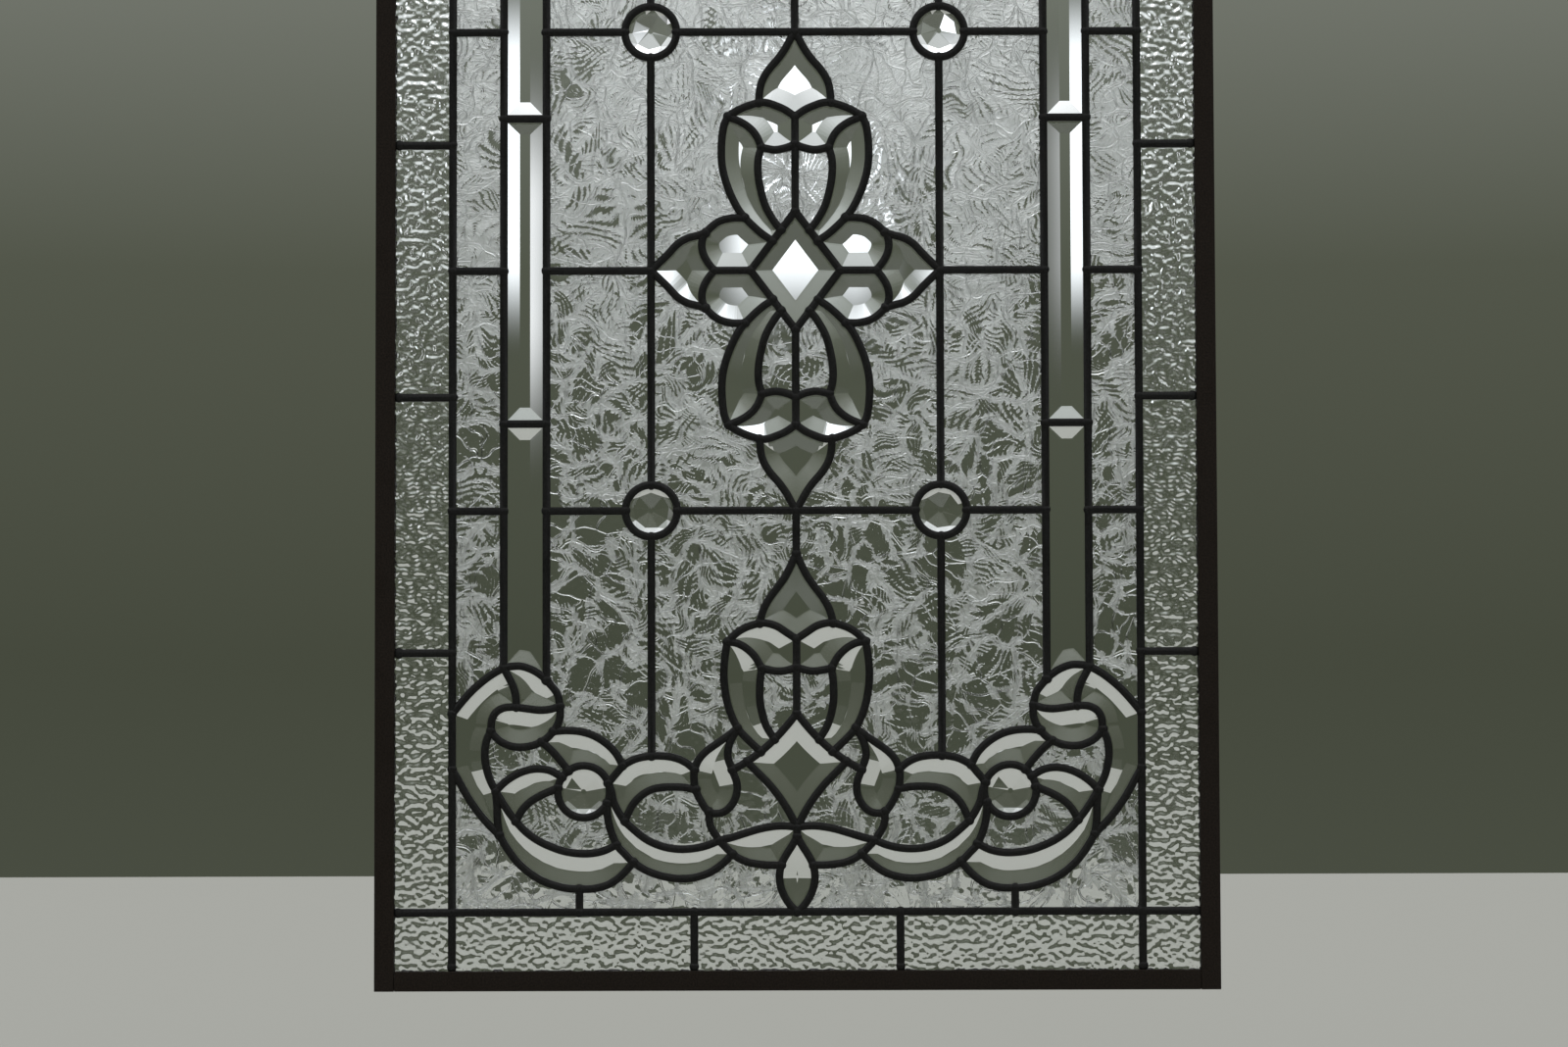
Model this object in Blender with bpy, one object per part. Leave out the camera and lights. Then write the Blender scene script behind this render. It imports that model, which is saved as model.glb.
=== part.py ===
"""Leaded glass window panel, made to hang: metal frame, soldered cames, clear bevels and textured glass."""

import math

import bmesh
import bpy

MM = 0.001

# Sizes in millimetres
PANEL_WIDTH = 520.0
PANEL_HEIGHT = 888.0
GAP = 0.3

FRAME_FACE = 12.2
FRAME_DEPTH = 9.0
FRAME_WALL = 1.3
FRAME_WEB = 1.8
FRAME_TUCK = 7.0

CAME_WIDTH = 4.8
CAME_DEPTH = 5.0
SHEET_THICKNESS = 3.0
BEVEL_THICKNESS = 4.5
BEVEL_EDGE = 2.0
WEB_THICKNESS = 1.2
WEB_MARGIN = 1.0
STRIP_BEVEL = 7.5
SMALL_BEVEL = 6.0
MOST_BEVEL_SHARE = 0.8

JEWEL_RING = 16.0
JEWEL_FACETS = 10
JEWEL_EDGE = 3.0
JEWEL_THICKNESS = 5.6
JEWEL_TABLE = 3.2
JEWEL_CHAMFER = 9.5

# From the panel's edges to the came round the pattern
BORDER_BAND_X = 47.6
BORDER_BAND_Z = 48.0

# The pattern as drawn, as distances from its centre; it is stretched to the room inside the border
DRAWN_X = 212.4
DRAWN_Z = 396.0
STRIP_OUTER_X = 180.7
STRIP_INNER_X = 154.3
GRID_X = 89.5
ROW_Z = 149.0
STRIP_BREAK_Z = 95.0
UNDER_X = 134.0
SIDE_BREAKS = (78.5, 236.5)
END_BREAK_X = 63.4

BORDER_X = PANEL_WIDTH / 2 - BORDER_BAND_X
BORDER_Z = PANEL_HEIGHT / 2 - BORDER_BAND_Z
STRETCH_X = BORDER_X / DRAWN_X
STRETCH_Z = BORDER_Z / DRAWN_Z
HALF_CAME = CAME_WIDTH / 2
GLASS_EDGE = HALF_CAME + GAP
FRAME_INNER_X = PANEL_WIDTH / 2 - FRAME_FACE
FRAME_INNER_Z = PANEL_HEIGHT / 2 - FRAME_FACE
# Heights in front of the middle of the sheets; the frame and the sheets are centred on it
SHEET_BACK = -SHEET_THICKNESS / 2
CAME_BACK = SHEET_BACK - GAP
WEB_TOP = CAME_BACK - GAP
WEB_BACK = WEB_TOP - WEB_THICKNESS
CAME_FRONT = CAME_BACK + CAME_DEPTH
BEVEL_LOW = SHEET_BACK + BEVEL_EDGE
BEVEL_FRONT = SHEET_BACK + BEVEL_THICKNESS
JEWEL_LOW = SHEET_BACK + JEWEL_EDGE
JEWEL_FRONT = SHEET_BACK + JEWEL_THICKNESS
INSET_STEP = 0.3
SAME_POINT = 0.02
NEARLY_STRAIGHT = 0.3
RING_DIAGONAL = JEWEL_RING * math.sqrt(0.5)

# Ends of the curved cames in the lower right quarter: x from the middle, z from the centre
JOINTS = {
    "centre tip": (0, -ROW_Z),
    "centre shoulder": (22.5, -104.6),
    "centre fan outside": (41.7, -96),
    "centre fan middle": (0, -96),
    "centre fan low": (20.9, -76.7),
    "centre fan base": (0, -78.9),
    "teardrop tip": (31.2, -32.8),
    "centre leaf outside": (14, -18.3),
    "centre leaf inside": (8.8, -25.2),
    "centre diamond top": (0, -36.8),
    "centre diamond side": (27.8, 0),
    "teardrop base": (50.3, 0),
    "petal shoulder": (55.7, -23.4),
    "petal tip": (GRID_X, 0),
    "end tip": (0, -175.8),
    "end shoulder": (22.6, -218.6),
    "end fan outside": (42.7, -230.2),
    "end fan middle": (0, -228.4),
    "end fan low": (21.5, -246.4),
    "end fan base": (0, -245.9),
    "end leaf outside": (22.2, -297.7),
    "end leaf inside": (13.8, -290.2),
    "end diamond top": (0, -274.3),
    "end diamond side": (30.7, -303.9),
    "end diamond low": (0, -344.3),
    "comma tip": (36.4, -283.2),
    "comma link": (39.8, -309),
    "comma foot": (54.2, -334.6),
    "comma under leaf": (62.4, -320.8),
    "comma over leaf": (63, -308.8),
    "arc leaf grid": (GRID_X, -300.2),
    "arc leaf tip": (106, -340.2),
    "leaf end": (107.3, -306.2),
    "ring inside": (116.2, -316.8),
    "ring low": (116.9, -329),
    "ring leaf": (140.8, -309.1),
    "ring lower leaf top": (144.6, -313.1),
    "ring lower leaf": (147.1, -319.6),
    "lower leaf tip": (173, -340.1),
    "scroll foot": (185.5, -321.6),
    "scroll heel": (183.2, -348.6),
    "scroll top": (DRAWN_X, -274),
    "scroll bottom": (DRAWN_X, -308),
    "strip outside": (STRIP_OUTER_X, -245.9),
    "strip inside": (STRIP_INNER_X, -253.4),
    "curl divider": (172.8, -270),
    "curl end": (145.9, -269.4),
    "curl start": (188.5, -284.4),
    "curl leaf top": (150.2, -285),
    "curl leaf low": (157.4, -291.3),
    "small leaf top": (48, -352.2),
    "small leaf end": (39.8, -360.6),
    "drop top": (0, -350),
    "drop side": (9.8, -367.4),
    "drop low": (0, -DRAWN_Z),
    "crescent join": (111, -354.6),
    "crescent end": (100.7, -365.4),
    "under middle": (UNDER_X, -381.7),
    "under low": (UNDER_X, -DRAWN_Z),
    "corner": (DRAWN_X, -DRAWN_Z),
    "border row": (DRAWN_X, -ROW_Z),
    "border middle": (DRAWN_X, 0),
    "strip outer row": (STRIP_OUTER_X, -ROW_Z),
    "strip outer break": (STRIP_OUTER_X, -STRIP_BREAK_Z),
    "strip outer middle": (STRIP_OUTER_X, 0),
    "strip inner row": (STRIP_INNER_X, -ROW_Z),
    "strip inner break": (STRIP_INNER_X, -STRIP_BREAK_Z),
    "strip inner middle": (STRIP_INNER_X, 0),
    "jewel inside": (GRID_X - JEWEL_RING, -ROW_Z),
    "jewel outside": (GRID_X + JEWEL_RING, -ROW_Z),
    "jewel top": (GRID_X, -ROW_Z + JEWEL_RING),
    "jewel low": (GRID_X, -ROW_Z - JEWEL_RING),
    "jewel top inside": (GRID_X - RING_DIAGONAL, -ROW_Z + RING_DIAGONAL),
    "jewel top outside": (GRID_X + RING_DIAGONAL, -ROW_Z + RING_DIAGONAL),
    "jewel low inside": (GRID_X - RING_DIAGONAL, -ROW_Z - RING_DIAGONAL),
    "jewel low outside": (GRID_X + RING_DIAGONAL, -ROW_Z - RING_DIAGONAL),
}

# Each came runs through joints and the points between them
CAMES = (
    # Straight cames
    ("border middle", "border row", "scroll top", "scroll bottom", "corner"),
    ("corner", "under low", "drop low"),
    ("strip outer middle", "strip outer break", "strip outer row", "strip outside"),
    ("strip inner middle", "strip inner break", "strip inner row", "strip inside"),
    ("strip outer break", "strip inner break"),
    ("border middle", "strip outer middle"),
    ("border row", "strip outer row"),
    ("petal tip", "strip inner middle"),
    ("petal tip", "jewel top"),
    ("jewel low", "arc leaf grid"),
    ("centre tip", "jewel inside"),
    ("jewel outside", "strip inner row"),
    ("centre tip", "end tip"),
    ("under middle", "under low"),
    # Middle ornament
    ("centre tip", (12.8, -129), (21, -116), "centre shoulder"),
    ("centre fan outside", (32.6, -101.3), "centre shoulder", (12.3, -102.9), "centre fan middle"),
    ("centre fan outside", (28.6, -89.2), "centre fan low", (10, -75.3), "centre fan base"),
    ("centre fan outside", (45.6, -79), (43.6, -58), "teardrop tip", "centre leaf outside"),
    ("centre fan low", (23.2, -60), "centre leaf inside"),
    ("centre fan middle", "centre fan base", "centre diamond top"),
    ("centre diamond top", "centre leaf inside", "centre leaf outside", "centre diamond side"),
    ("centre diamond side", "teardrop base"),
    ("teardrop tip", (44, -32), "petal shoulder", (57.8, -13.5), "teardrop base"),
    ("petal tip", (69.5, -19.2), "petal shoulder"),
    # End ornament
    ("end tip", (7.1, -190.3), (16, -202.4), "end shoulder"),
    ("end fan outside", (33.5, -222.4), "end shoulder", (12, -220.6), "end fan middle"),
    ("end fan outside", (30.5, -234.4), "end fan low", (10, -248.2), "end fan base"),
    ("end fan outside", (44.8, -247), (42.9, -267), "comma tip", "end leaf outside"),
    ("end fan low", (22.8, -262), "end leaf inside"),
    ("end fan middle", "end fan base", "end diamond top"),
    ("end diamond top", "end leaf inside", "end leaf outside", "end diamond side"),
    ("end diamond side", (16, -319), "end diamond low"),
    ("comma tip", (42, -298), "comma link", (37, -319), "comma foot"),
    ("comma foot", "comma under leaf", "comma over leaf", (54, -295.6), "comma tip"),
    ("end diamond side", "comma link"),
    ("comma foot", (53.8, -342), "small leaf top"),
    ("small leaf top", (23, -345), "end diamond low", "drop top"),
    ("small leaf top", "small leaf end"),
    ("small leaf end", (26, -366.8), "drop side"),
    ("drop top", "drop side", (10.6, -380), "drop low"),
    # Scroll
    ("comma over leaf", (75, -301.4), "arc leaf grid", (99, -301.8), "leaf end", "ring inside"),
    ("comma under leaf", (89, -320.4), (101, -329), "arc leaf tip"),
    ("ring inside", (113.4, -328), "arc leaf tip"),
    ("arc leaf tip", (94, -351), (70, -357.6), "small leaf top"),
    ("ring low", (116.4, -341), "crescent join", "crescent end", (73, -376), "small leaf end"),
    ("lower leaf tip", (154, -355.2), (131, -360), "crescent join"),
    ("scroll heel", (169, -368.4), (151.8, -378.2), "under middle", (114, -378), "crescent end"),
    ("scroll foot", "scroll heel"),
    ("scroll foot", "lower leaf tip"),
    ("scroll foot", (165, -307.8), "ring lower leaf top"),
    ("ring lower leaf", (161, -325.6), "lower leaf tip"),
    ("curl leaf top", (134, -285), (119, -291.2), "leaf end"),
    ("curl leaf low", "ring leaf"),
    ("scroll top", (198, -257.6), "strip outside", (168.5, -244.8), "strip inside", "curl end"),
    ("strip outside", (174.6, -257), "curl divider"),
    ("curl start", (185.8, -273), "curl divider", "curl end"),
    ("curl end", "curl leaf top", "curl leaf low", (174, -294.2), "curl start"),
    ("curl start", (192.2, -301), "scroll foot"),
    ("scroll bottom", (200.5, -329), "scroll heel"),
    # Jewel rings
    ("jewel top", "jewel top outside", "jewel outside", "jewel low outside", "jewel low"),
    ("jewel low", "jewel low inside", "jewel inside", "jewel top inside", "jewel top"),
    ("ring inside", (121.3, -309.5), (131.3, -306), "ring leaf", "ring lower leaf top", "ring lower leaf"),
    ("ring lower leaf", (143.6, -332.3), (131.3, -338), "ring low"),
    ("ring low", "ring inside"),
)

# Joints round each kind of piece that is a node of its own, or flat glass among the bevels
PANES = {
    "pane_inner": ("petal tip", "jewel top", "centre fan outside"),
    "pane_outer": ("petal tip", "jewel top", "strip inner row", "strip inner middle"),
    "pane_inner_end": ("jewel low", "end fan outside", "arc leaf grid"),
    "pane_outer_end": ("jewel low", "arc leaf grid", "strip inside", "strip inner row"),
}
STRIPS = {
    "strip_middle": ("strip outer middle", "strip inner break"),
    "strip_end": ("strip outer break", "strip inside"),
}
SIDE_CHIPS = {"side": ("border middle", "strip outer row")}
JEWELS = {"jewel": ("jewel top", "jewel low")}
SCROLL_JEWEL = {"scroll_jewel": ("ring low", "ring leaf")}
FLAT_IN_CLUSTER = {
    "side end": ("border row", "strip outer row", "scroll top", "strip outside"),
    "centre leaf": ("centre fan base", "centre diamond top", "centre leaf inside", "centre fan low"),
    "end leaf": ("end fan base", "end diamond top", "end leaf inside", "end fan low"),
    "over lower leaf": ("curl leaf low", "scroll foot", "ring lower leaf top", "curl start"),
    "under lower leaf": ("lower leaf tip", "crescent join", "ring lower leaf"),
    "under arc leaf": ("comma under leaf", "arc leaf tip", "small leaf top", "comma foot"),
    "over comma": ("end leaf outside", "end diamond side", "comma tip", "comma link"),
    "under diamond": ("end diamond side", "comma foot", "small leaf top", "end diamond low"),
    "under scroll": ("corner", "scroll heel", "under low"),
    "under crescent": ("under low", "crescent end", "drop side", "drop low"),
}

# Glass and metal
MATERIALS = {
    "frame_metal": ((0.022, 0.017, 0.014), 0.5, 0.7, 0.0),
    "came_metal": ((0.012, 0.012, 0.012), 0.42, 0.7, 0.0),
    "bevel_glass": ((0.9, 0.96, 0.94), 0.03, 0.0, 1.0),
    "chip_glass": ((0.88, 0.95, 0.93), 0.4, 0.0, 1.0),
    "border_glass": ((0.86, 0.93, 0.91), 0.2, 0.0, 1.0),
    "jewel_glass": ((0.92, 0.97, 0.97), 0.02, 0.0, 1.0),
}


def make_materials():
    made = {}
    for name, (colour, roughness, metallic, transmission) in MATERIALS.items():
        material = bpy.data.materials.new(name)
        material.use_nodes = True
        shader = material.node_tree.nodes["Principled BSDF"]
        shader.inputs["Base Color"].default_value = (*colour, 1.0)
        shader.inputs["Roughness"].default_value = roughness
        shader.inputs["Metallic"].default_value = metallic
        shader.inputs["Transmission Weight"].default_value = transmission
        made[name] = material
    return made


def add_object(name, mesh, material, location, rotation=(math.pi / 2, 0, 0)):
    """Adds a node in the part's collection, standing upright unless told otherwise."""
    obj = bpy.data.objects.new(name, mesh)
    mesh.materials.clear()
    mesh.materials.append(materials[material])
    collection.objects.link(obj)
    obj.location = location
    obj.rotation_euler = rotation
    obj.parent = centre
    return obj


def place_of(stop):
    """Where a joint, or a point between joints, lies on the panel."""
    x, z = JOINTS[stop] if isinstance(stop, str) else stop
    return (x * STRETCH_X, z * STRETCH_Z)


def key(x, z):
    return (round(x / SAME_POINT), round(z / SAME_POINT))


def came_network():
    """The points of the whole pattern and the neighbours of each: the quarter, mirrored both ways."""
    points = {}
    beside = {}
    for side in (1, -1):
        for end in (1, -1):
            for stops in CAMES:
                line = []
                for stop in stops:
                    x, z = place_of(stop)
                    x, z = x * side, z * end
                    points[key(x, z)] = (x, z)
                    line.append(key(x, z))
                for a, b in zip(line, line[1:]):
                    beside.setdefault(a, set()).add(b)
                    beside.setdefault(b, set()).add(a)
    return points, beside


def cells_of(points, beside):
    """The closed cells of the network, each a list of point keys, anticlockwise."""
    turn = {}
    for a, others in beside.items():
        x, z = points[a]
        turn[a] = sorted(others, key=lambda b: math.atan2(points[b][1] - z, points[b][0] - x))
    found = []
    used = set()
    for a in beside:
        for b in beside[a]:
            if (a, b) in used:
                continue
            loop = []
            start, end = a, b
            while (start, end) not in used:
                used.add((start, end))
                loop.append(start)
                around = turn[end]
                start, end = end, around[around.index(start) - 1]
            if area_of([points[k] for k in loop]) > 0:
                found.append(loop)
    return found


def area_of(loop):
    return sum(a[0] * b[1] - b[0] * a[1] for a, b in zip(loop, loop[1:] + loop[:1])) / 2


def middle_of(loop):
    return (sum(p[0] for p in loop) / len(loop), sum(p[1] for p in loop) / len(loop))


def holds(loop, x, z):
    inside = False
    for (ax, az), (bx, bz) in zip(loop, loop[1:] + loop[:1]):
        if (az > z) != (bz > z) and x < ax + (bx - ax) * (z - az) / (bz - az):
            inside = not inside
    return inside


def straightened(loop):
    """The loop without points that lie nearly on the line between the points beside them."""
    kept = list(loop)
    while len(kept) > 3:
        off = []
        for before, point, after in zip(kept[-1:] + kept[:-1], kept, kept[1:] + kept[:1]):
            off.append(abs(side_of(before, after, point)) / math.dist(before, after))
        if min(off) > NEARLY_STRAIGHT:
            break
        kept.pop(off.index(min(off)))
    return kept


def inset(loop, width):
    """The loop moved inwards by width, and for each of its points the index of the new point."""
    count = len(loop)
    edges = []
    for (ax, az), (bx, bz) in zip(loop, loop[1:] + loop[:1]):
        length = math.hypot(bx - ax, bz - az)
        edges.append((ax, az, (bx - ax) / length, (bz - az) / length))

    def corner(first, second, moved):
        ax, az, adx, adz = edges[first]
        bx, bz, bdx, bdz = edges[second]
        ax, az = ax - adz * moved, az + adx * moved
        bx, bz = bx - bdz * moved, bz + bdx * moved
        cross = adx * bdz - adz * bdx
        if abs(cross) < 1e-4:
            return ((ax + bx) / 2, (az + bz) / 2) if adx * bdx + adz * bdz < 0 else (bx, bz)
        along = ((bx - ax) * bdz - (bz - az) * bdx) / cross
        return (ax + adx * along, az + adz * along)

    left = list(range(count))
    moved = 0.0
    while moved < width - 1e-9:
        moved = min(width, moved + INSET_STEP)
        while len(left) > 3:
            corners = [corner(left[i - 1], left[i], moved) for i in range(len(left))]
            spans = []
            for i, edge in enumerate(left):
                ax, az = corners[i]
                bx, bz = corners[(i + 1) % len(left)]
                spans.append((bx - ax) * edges[edge][2] + (bz - az) * edges[edge][3])
            if min(spans) > 0:
                break
            left.pop(spans.index(min(spans)))
    corners = [corner(left[i - 1], left[i], moved) for i in range(len(left))]
    place = []
    for point in range(count):
        after = [i for i, edge in enumerate(left) if edge >= point]
        place.append(after[0] if after else 0)
    return corners, place


def side_of(a, b, c):
    return (b[0] - a[0]) * (c[1] - a[1]) - (b[1] - a[1]) * (c[0] - a[0])


def crossing(a, b, c, d):
    return side_of(a, b, c) * side_of(a, b, d) < 0 and side_of(c, d, a) * side_of(c, d, b) < 0


def flat_fits(loop, flat, place):
    """Whether the flat of a bevel and the slanted faces up to it stay within the outline."""
    if area_of(flat) <= 0 or not all(holds(loop, *p) for p in flat):
        return False
    lines = list(zip(flat, flat[1:] + flat[:1])) + [(loop[i], flat[at]) for i, at in enumerate(place)]
    edges = list(zip(loop, loop[1:] + loop[:1]))
    return not any(crossing(*line, *edge) for line in lines for edge in edges)


def widest_inset(loop, wanted):
    """The wanted bevel width, or less where the piece is narrow."""
    low, high = 0.0, wanted / MOST_BEVEL_SHARE
    for _ in range(12):
        middle = (low + high) / 2
        good = flat_fits(loop, *inset(loop, middle))
        low, high = (middle, high) if good else (low, middle)
    return low * MOST_BEVEL_SHARE


def flat_mesh(name, loops, back, front):
    """A filled outline with holes, extruded from back to front."""
    curve = bpy.data.curves.new(name, "CURVE")
    curve.dimensions = "2D"
    curve.fill_mode = "BOTH"
    curve.extrude = (front - back) / 2 * MM
    for loop in loops:
        spline = curve.splines.new("POLY")
        spline.points.add(len(loop) - 1)
        for point, (x, z) in zip(spline.points, loop):
            point.co = (x * MM, z * MM, 0, 1)
        spline.use_cyclic_u = True
    obj = bpy.data.objects.new(name, curve)
    collection.objects.link(obj)
    bpy.context.view_layer.update()
    evaluated = obj.evaluated_get(bpy.context.evaluated_depsgraph_get())
    mesh = bpy.data.meshes.new_from_object(evaluated)
    bpy.data.objects.remove(obj)
    bpy.data.curves.remove(curve)
    mesh.name = name
    bm = bmesh.new()
    bm.from_mesh(mesh)
    bmesh.ops.remove_doubles(bm, verts=bm.verts, dist=1e-6)
    if bm.faces and back != front:
        bmesh.ops.recalc_face_normals(bm, faces=bm.faces)
    bmesh.ops.translate(bm, verts=bm.verts, vec=(0, 0, (back + front) / 2 * MM))
    bm.to_mesh(mesh)
    bm.free()
    return mesh


def add_ring(bm, loop, height):
    return [bm.verts.new((x * MM, z * MM, height * MM)) for x, z in loop]


def add_crown(bm, loop, edge, width, top):
    """Slanted faces from a closed row of vertices up to a flat, which no tool makes on a narrow outline."""
    flat, place = inset(loop, width)
    above = add_ring(bm, flat, top)
    for i, vert in enumerate(edge):
        after = (i + 1) % len(edge)
        a, b = above[place[i]], above[place[after]]
        corners = [vert, edge[after], b] if a == b else [vert, edge[after], b, a]
        bm.faces.new(corners)
    bm.faces.new(above)


def bevelled_mesh(name, loop, back, edge, top, width):
    """A bevelled piece of glass: flat back, upright edge and slanted faces up to a flat."""
    bm = bmesh.new()
    low = add_ring(bm, loop, back)
    high = add_ring(bm, loop, edge)
    bm.faces.new(low[::-1])
    for i in range(len(low)):
        after = (i + 1) % len(low)
        bm.faces.new((low[i], low[after], high[after], high[i]))
    add_crown(bm, loop, high, width, top)
    mesh = bpy.data.meshes.new(name)
    bm.to_mesh(mesh)
    bm.free()
    return mesh


def moved(loop, x, z):
    return [(px + x, pz + z) for px, pz in loop]


def add_pane(name, loop, material):
    x, z = middle_of(loop)
    mesh = flat_mesh(name, [moved(loop, -x, -z)], SHEET_BACK, -SHEET_BACK)
    add_object(name, mesh, material, (x * MM, 0, z * MM))


def rectangle(left, low, right, high):
    return [(left, low), (right, low), (right, high), (left, high)]


def add_frame():
    """Two full-height channels, and the top and bottom channels butted between them."""
    outer, lip = 0.0, FRAME_FACE
    half, wall = FRAME_DEPTH / 2, FRAME_DEPTH / 2 - FRAME_WALL
    section = [(outer, -half), (lip, -half), (lip, -wall), (FRAME_WEB, -wall)]
    section += [(FRAME_WEB, wall), (lip, wall), (lip, half), (outer, half)]
    mirrored = [(-x, y) for x, y in section[::-1]]
    upright = PANEL_HEIGHT / 2
    for name, side, profile in (("left", -1, section), ("right", 1, mirrored)):
        mesh = flat_mesh(f"frame_{name}", [profile], -upright, upright)
        place = (side * PANEL_WIDTH / 2 * MM, 0, 0)
        add_object(f"frame_{name}", mesh, "frame_metal", place, (0, 0, 0))
    across = FRAME_INNER_X - GAP
    for name, end, profile in (("bottom", -1, section), ("top", 1, mirrored)):
        mesh = flat_mesh(f"frame_{name}", [profile], -across, across)
        place = (0, 0, end * PANEL_HEIGHT / 2 * MM)
        add_object(f"frame_{name}", mesh, "frame_metal", place, (math.pi / 2, -math.pi / 2, -math.pi / 2))


def stubbed_side(stubs, base, reach):
    """One side of the came network's outline: short bars standing out of a straight edge."""
    line = []
    for at in stubs:
        low, high = at - HALF_CAME, at + HALF_CAME
        line += [(low, base), (low, reach), (high, reach), (high, base)]
    return line


def end_breaks():
    """Where cames cross the border above and below the pattern."""
    near = END_BREAK_X * STRETCH_X
    return [-BORDER_X, -near, near, BORDER_X]


def side_breaks():
    """Where cames cross the border beside the pattern."""
    near = [z * STRETCH_Z for z in SIDE_BREAKS]
    return sorted([-BORDER_Z, *(-z for z in near), *near, BORDER_Z])


def network_outline():
    ends, sides = end_breaks(), side_breaks()
    end_line = stubbed_side(ends, BORDER_Z + HALF_CAME, FRAME_INNER_Z - GAP)
    side_line = stubbed_side(sides, BORDER_X + HALF_CAME, FRAME_INNER_X - GAP)
    outline = [(x, -z) for x, z in end_line]
    outline += [(x, z) for z, x in side_line]
    outline += [(-x, z) for x, z in end_line]
    outline += [(-x, -z) for z, x in side_line]
    return [p for p, before in zip(outline, outline[-1:] + outline[:-1]) if math.dist(p, before) > SAME_POINT]


def add_border():
    """The narrow outer panes, whose outer edges sit in the frame's channel."""
    inner_x, inner_z = BORDER_X + GLASS_EDGE, BORDER_Z + GLASS_EDGE
    outer_x, outer_z = FRAME_INNER_X + FRAME_TUCK, FRAME_INNER_Z + FRAME_TUCK
    ends, sides = end_breaks(), side_breaks()
    for name, side in (("left", -1), ("right", 1)):
        near, far = sorted((side * inner_x, side * outer_x))
        for number, (low, high) in enumerate(zip(sides, sides[1:]), 1):
            loop = rectangle(near, low + GLASS_EDGE, far, high - GLASS_EDGE)
            add_pane(f"border_{name}_{number}", loop, "border_glass")
    for name, end in (("bottom", -1), ("top", 1)):
        near, far = sorted((end * inner_z, end * outer_z))
        for number, (low, high) in enumerate(zip(ends, ends[1:]), 1):
            loop = rectangle(low + GLASS_EDGE, near, high - GLASS_EDGE, far)
            add_pane(f"border_{name}_{number}", loop, "border_glass")
        for corner, side in (("left", -1), ("right", 1)):
            left, right = sorted((side * inner_x, side * outer_x))
            loop = rectangle(left, near, right, far)
            add_pane(f"border_corner_{name}_{corner}", loop, "border_glass")


def kind_of(loop, kinds):
    """The kind whose joints, or a mirrored copy of them, have their middle in the loop."""
    for name, around in kinds.items():
        x, z = middle_of([place_of(joint) for joint in around])
        for side in (1, -1):
            for end in (1, -1):
                if holds(loop, x * side, z * end):
                    return name
    return None


def placed_name(kind, loop):
    """The kind with the side and the end of the panel that the piece lies on."""
    x, z = middle_of(loop)
    level = "" if abs(z) < 1 else "_upper" if z > 0 else "_lower"
    return f"{kind}{level}_{'right' if x > 0 else 'left'}"


def outline_of(group):
    """The outer edge of cells that lie side by side."""
    edges = {(a, b) for loop in group for a, b in zip(loop, loop[1:] + loop[:1])}
    after = {}
    for a, b in edges:
        if (b, a) not in edges:
            after[a] = b
    start = min(after)
    line = [start]
    while after[line[-1]] != start:
        line.append(after[line[-1]])
    return [points[k] for k in line]


def cluster_mesh(name, group, outline):
    """Small pieces on one thin web of glass, which runs behind the cames between them."""
    outlines = [inset(straightened([points[k] for k in loop]), GLASS_EDGE)[0] for loop in group]
    web = flat_mesh(name, [outline, *outlines], WEB_TOP, WEB_TOP)
    bm = bmesh.new()
    bm.from_mesh(web)
    high = add_ring(bm, outline, WEB_TOP)
    low = add_ring(bm, outline, WEB_BACK)
    for i in range(len(low)):
        after = (i + 1) % len(low)
        bm.faces.new((low[i], low[after], high[after], high[i]))
    bm.faces.new(low[::-1])
    for loop in outlines:
        edge = add_ring(bm, loop, WEB_TOP)
        if kind_of(loop, FLAT_IN_CLUSTER):
            top = add_ring(bm, loop, -SHEET_BACK)
            for i in range(len(edge)):
                after = (i + 1) % len(edge)
                bm.faces.new((edge[i], edge[after], top[after], top[i]))
            bm.faces.new(top)
            continue
        round_one = kind_of(loop, SCROLL_JEWEL)
        width = widest_inset(loop, JEWEL_CHAMFER if round_one else SMALL_BEVEL)
        add_crown(bm, loop, edge, width, JEWEL_FRONT if round_one else BEVEL_FRONT)
    bmesh.ops.remove_doubles(bm, verts=bm.verts, dist=1e-6)
    bmesh.ops.recalc_face_normals(bm, faces=bm.faces)
    mesh = bpy.data.meshes.new(name)
    bm.to_mesh(mesh)
    bm.free()
    bpy.data.meshes.remove(web)
    return mesh


def nearest_edge(loop, x, z):
    return min(abs(side_of(a, b, (x, z))) / math.dist(a, b) for a, b in zip(loop, loop[1:] + loop[:1]))


def add_jewel(name, loop):
    """A round faceted jewel: a turned profile with few steps."""
    x, z = middle_of(loop)
    radius = nearest_edge(loop, x, z)
    bm = bmesh.new()
    profile = [(0, SHEET_BACK), (radius, SHEET_BACK), (radius, JEWEL_LOW)]
    profile += [(JEWEL_TABLE, JEWEL_FRONT), (0, JEWEL_FRONT)]
    verts = [bm.verts.new((r * MM, 0, h * MM)) for r, h in profile]
    edges = [bm.edges.new(pair) for pair in zip(verts, verts[1:])]
    full_turn = 2 * math.pi
    bmesh.ops.spin(
        bm,
        geom=verts + edges,
        cent=(0, 0, 0),
        axis=(0, 0, 1),
        angle=full_turn,
        steps=JEWEL_FACETS,
        use_merge=True,
    )
    bmesh.ops.remove_doubles(bm, verts=bm.verts, dist=1e-6)
    bmesh.ops.recalc_face_normals(bm, faces=bm.faces)
    mesh = bpy.data.meshes.new(name)
    bm.to_mesh(mesh)
    bm.free()
    add_object(name, mesh, "jewel_glass", (x * MM, 0, z * MM))


# Clear the scene
for old in list(bpy.data.objects):
    bpy.data.objects.remove(old, do_unlink=True)

collection = bpy.data.collections.new("leaded_glass_panel")
bpy.context.scene.collection.children.link(collection)
materials = make_materials()

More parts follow.
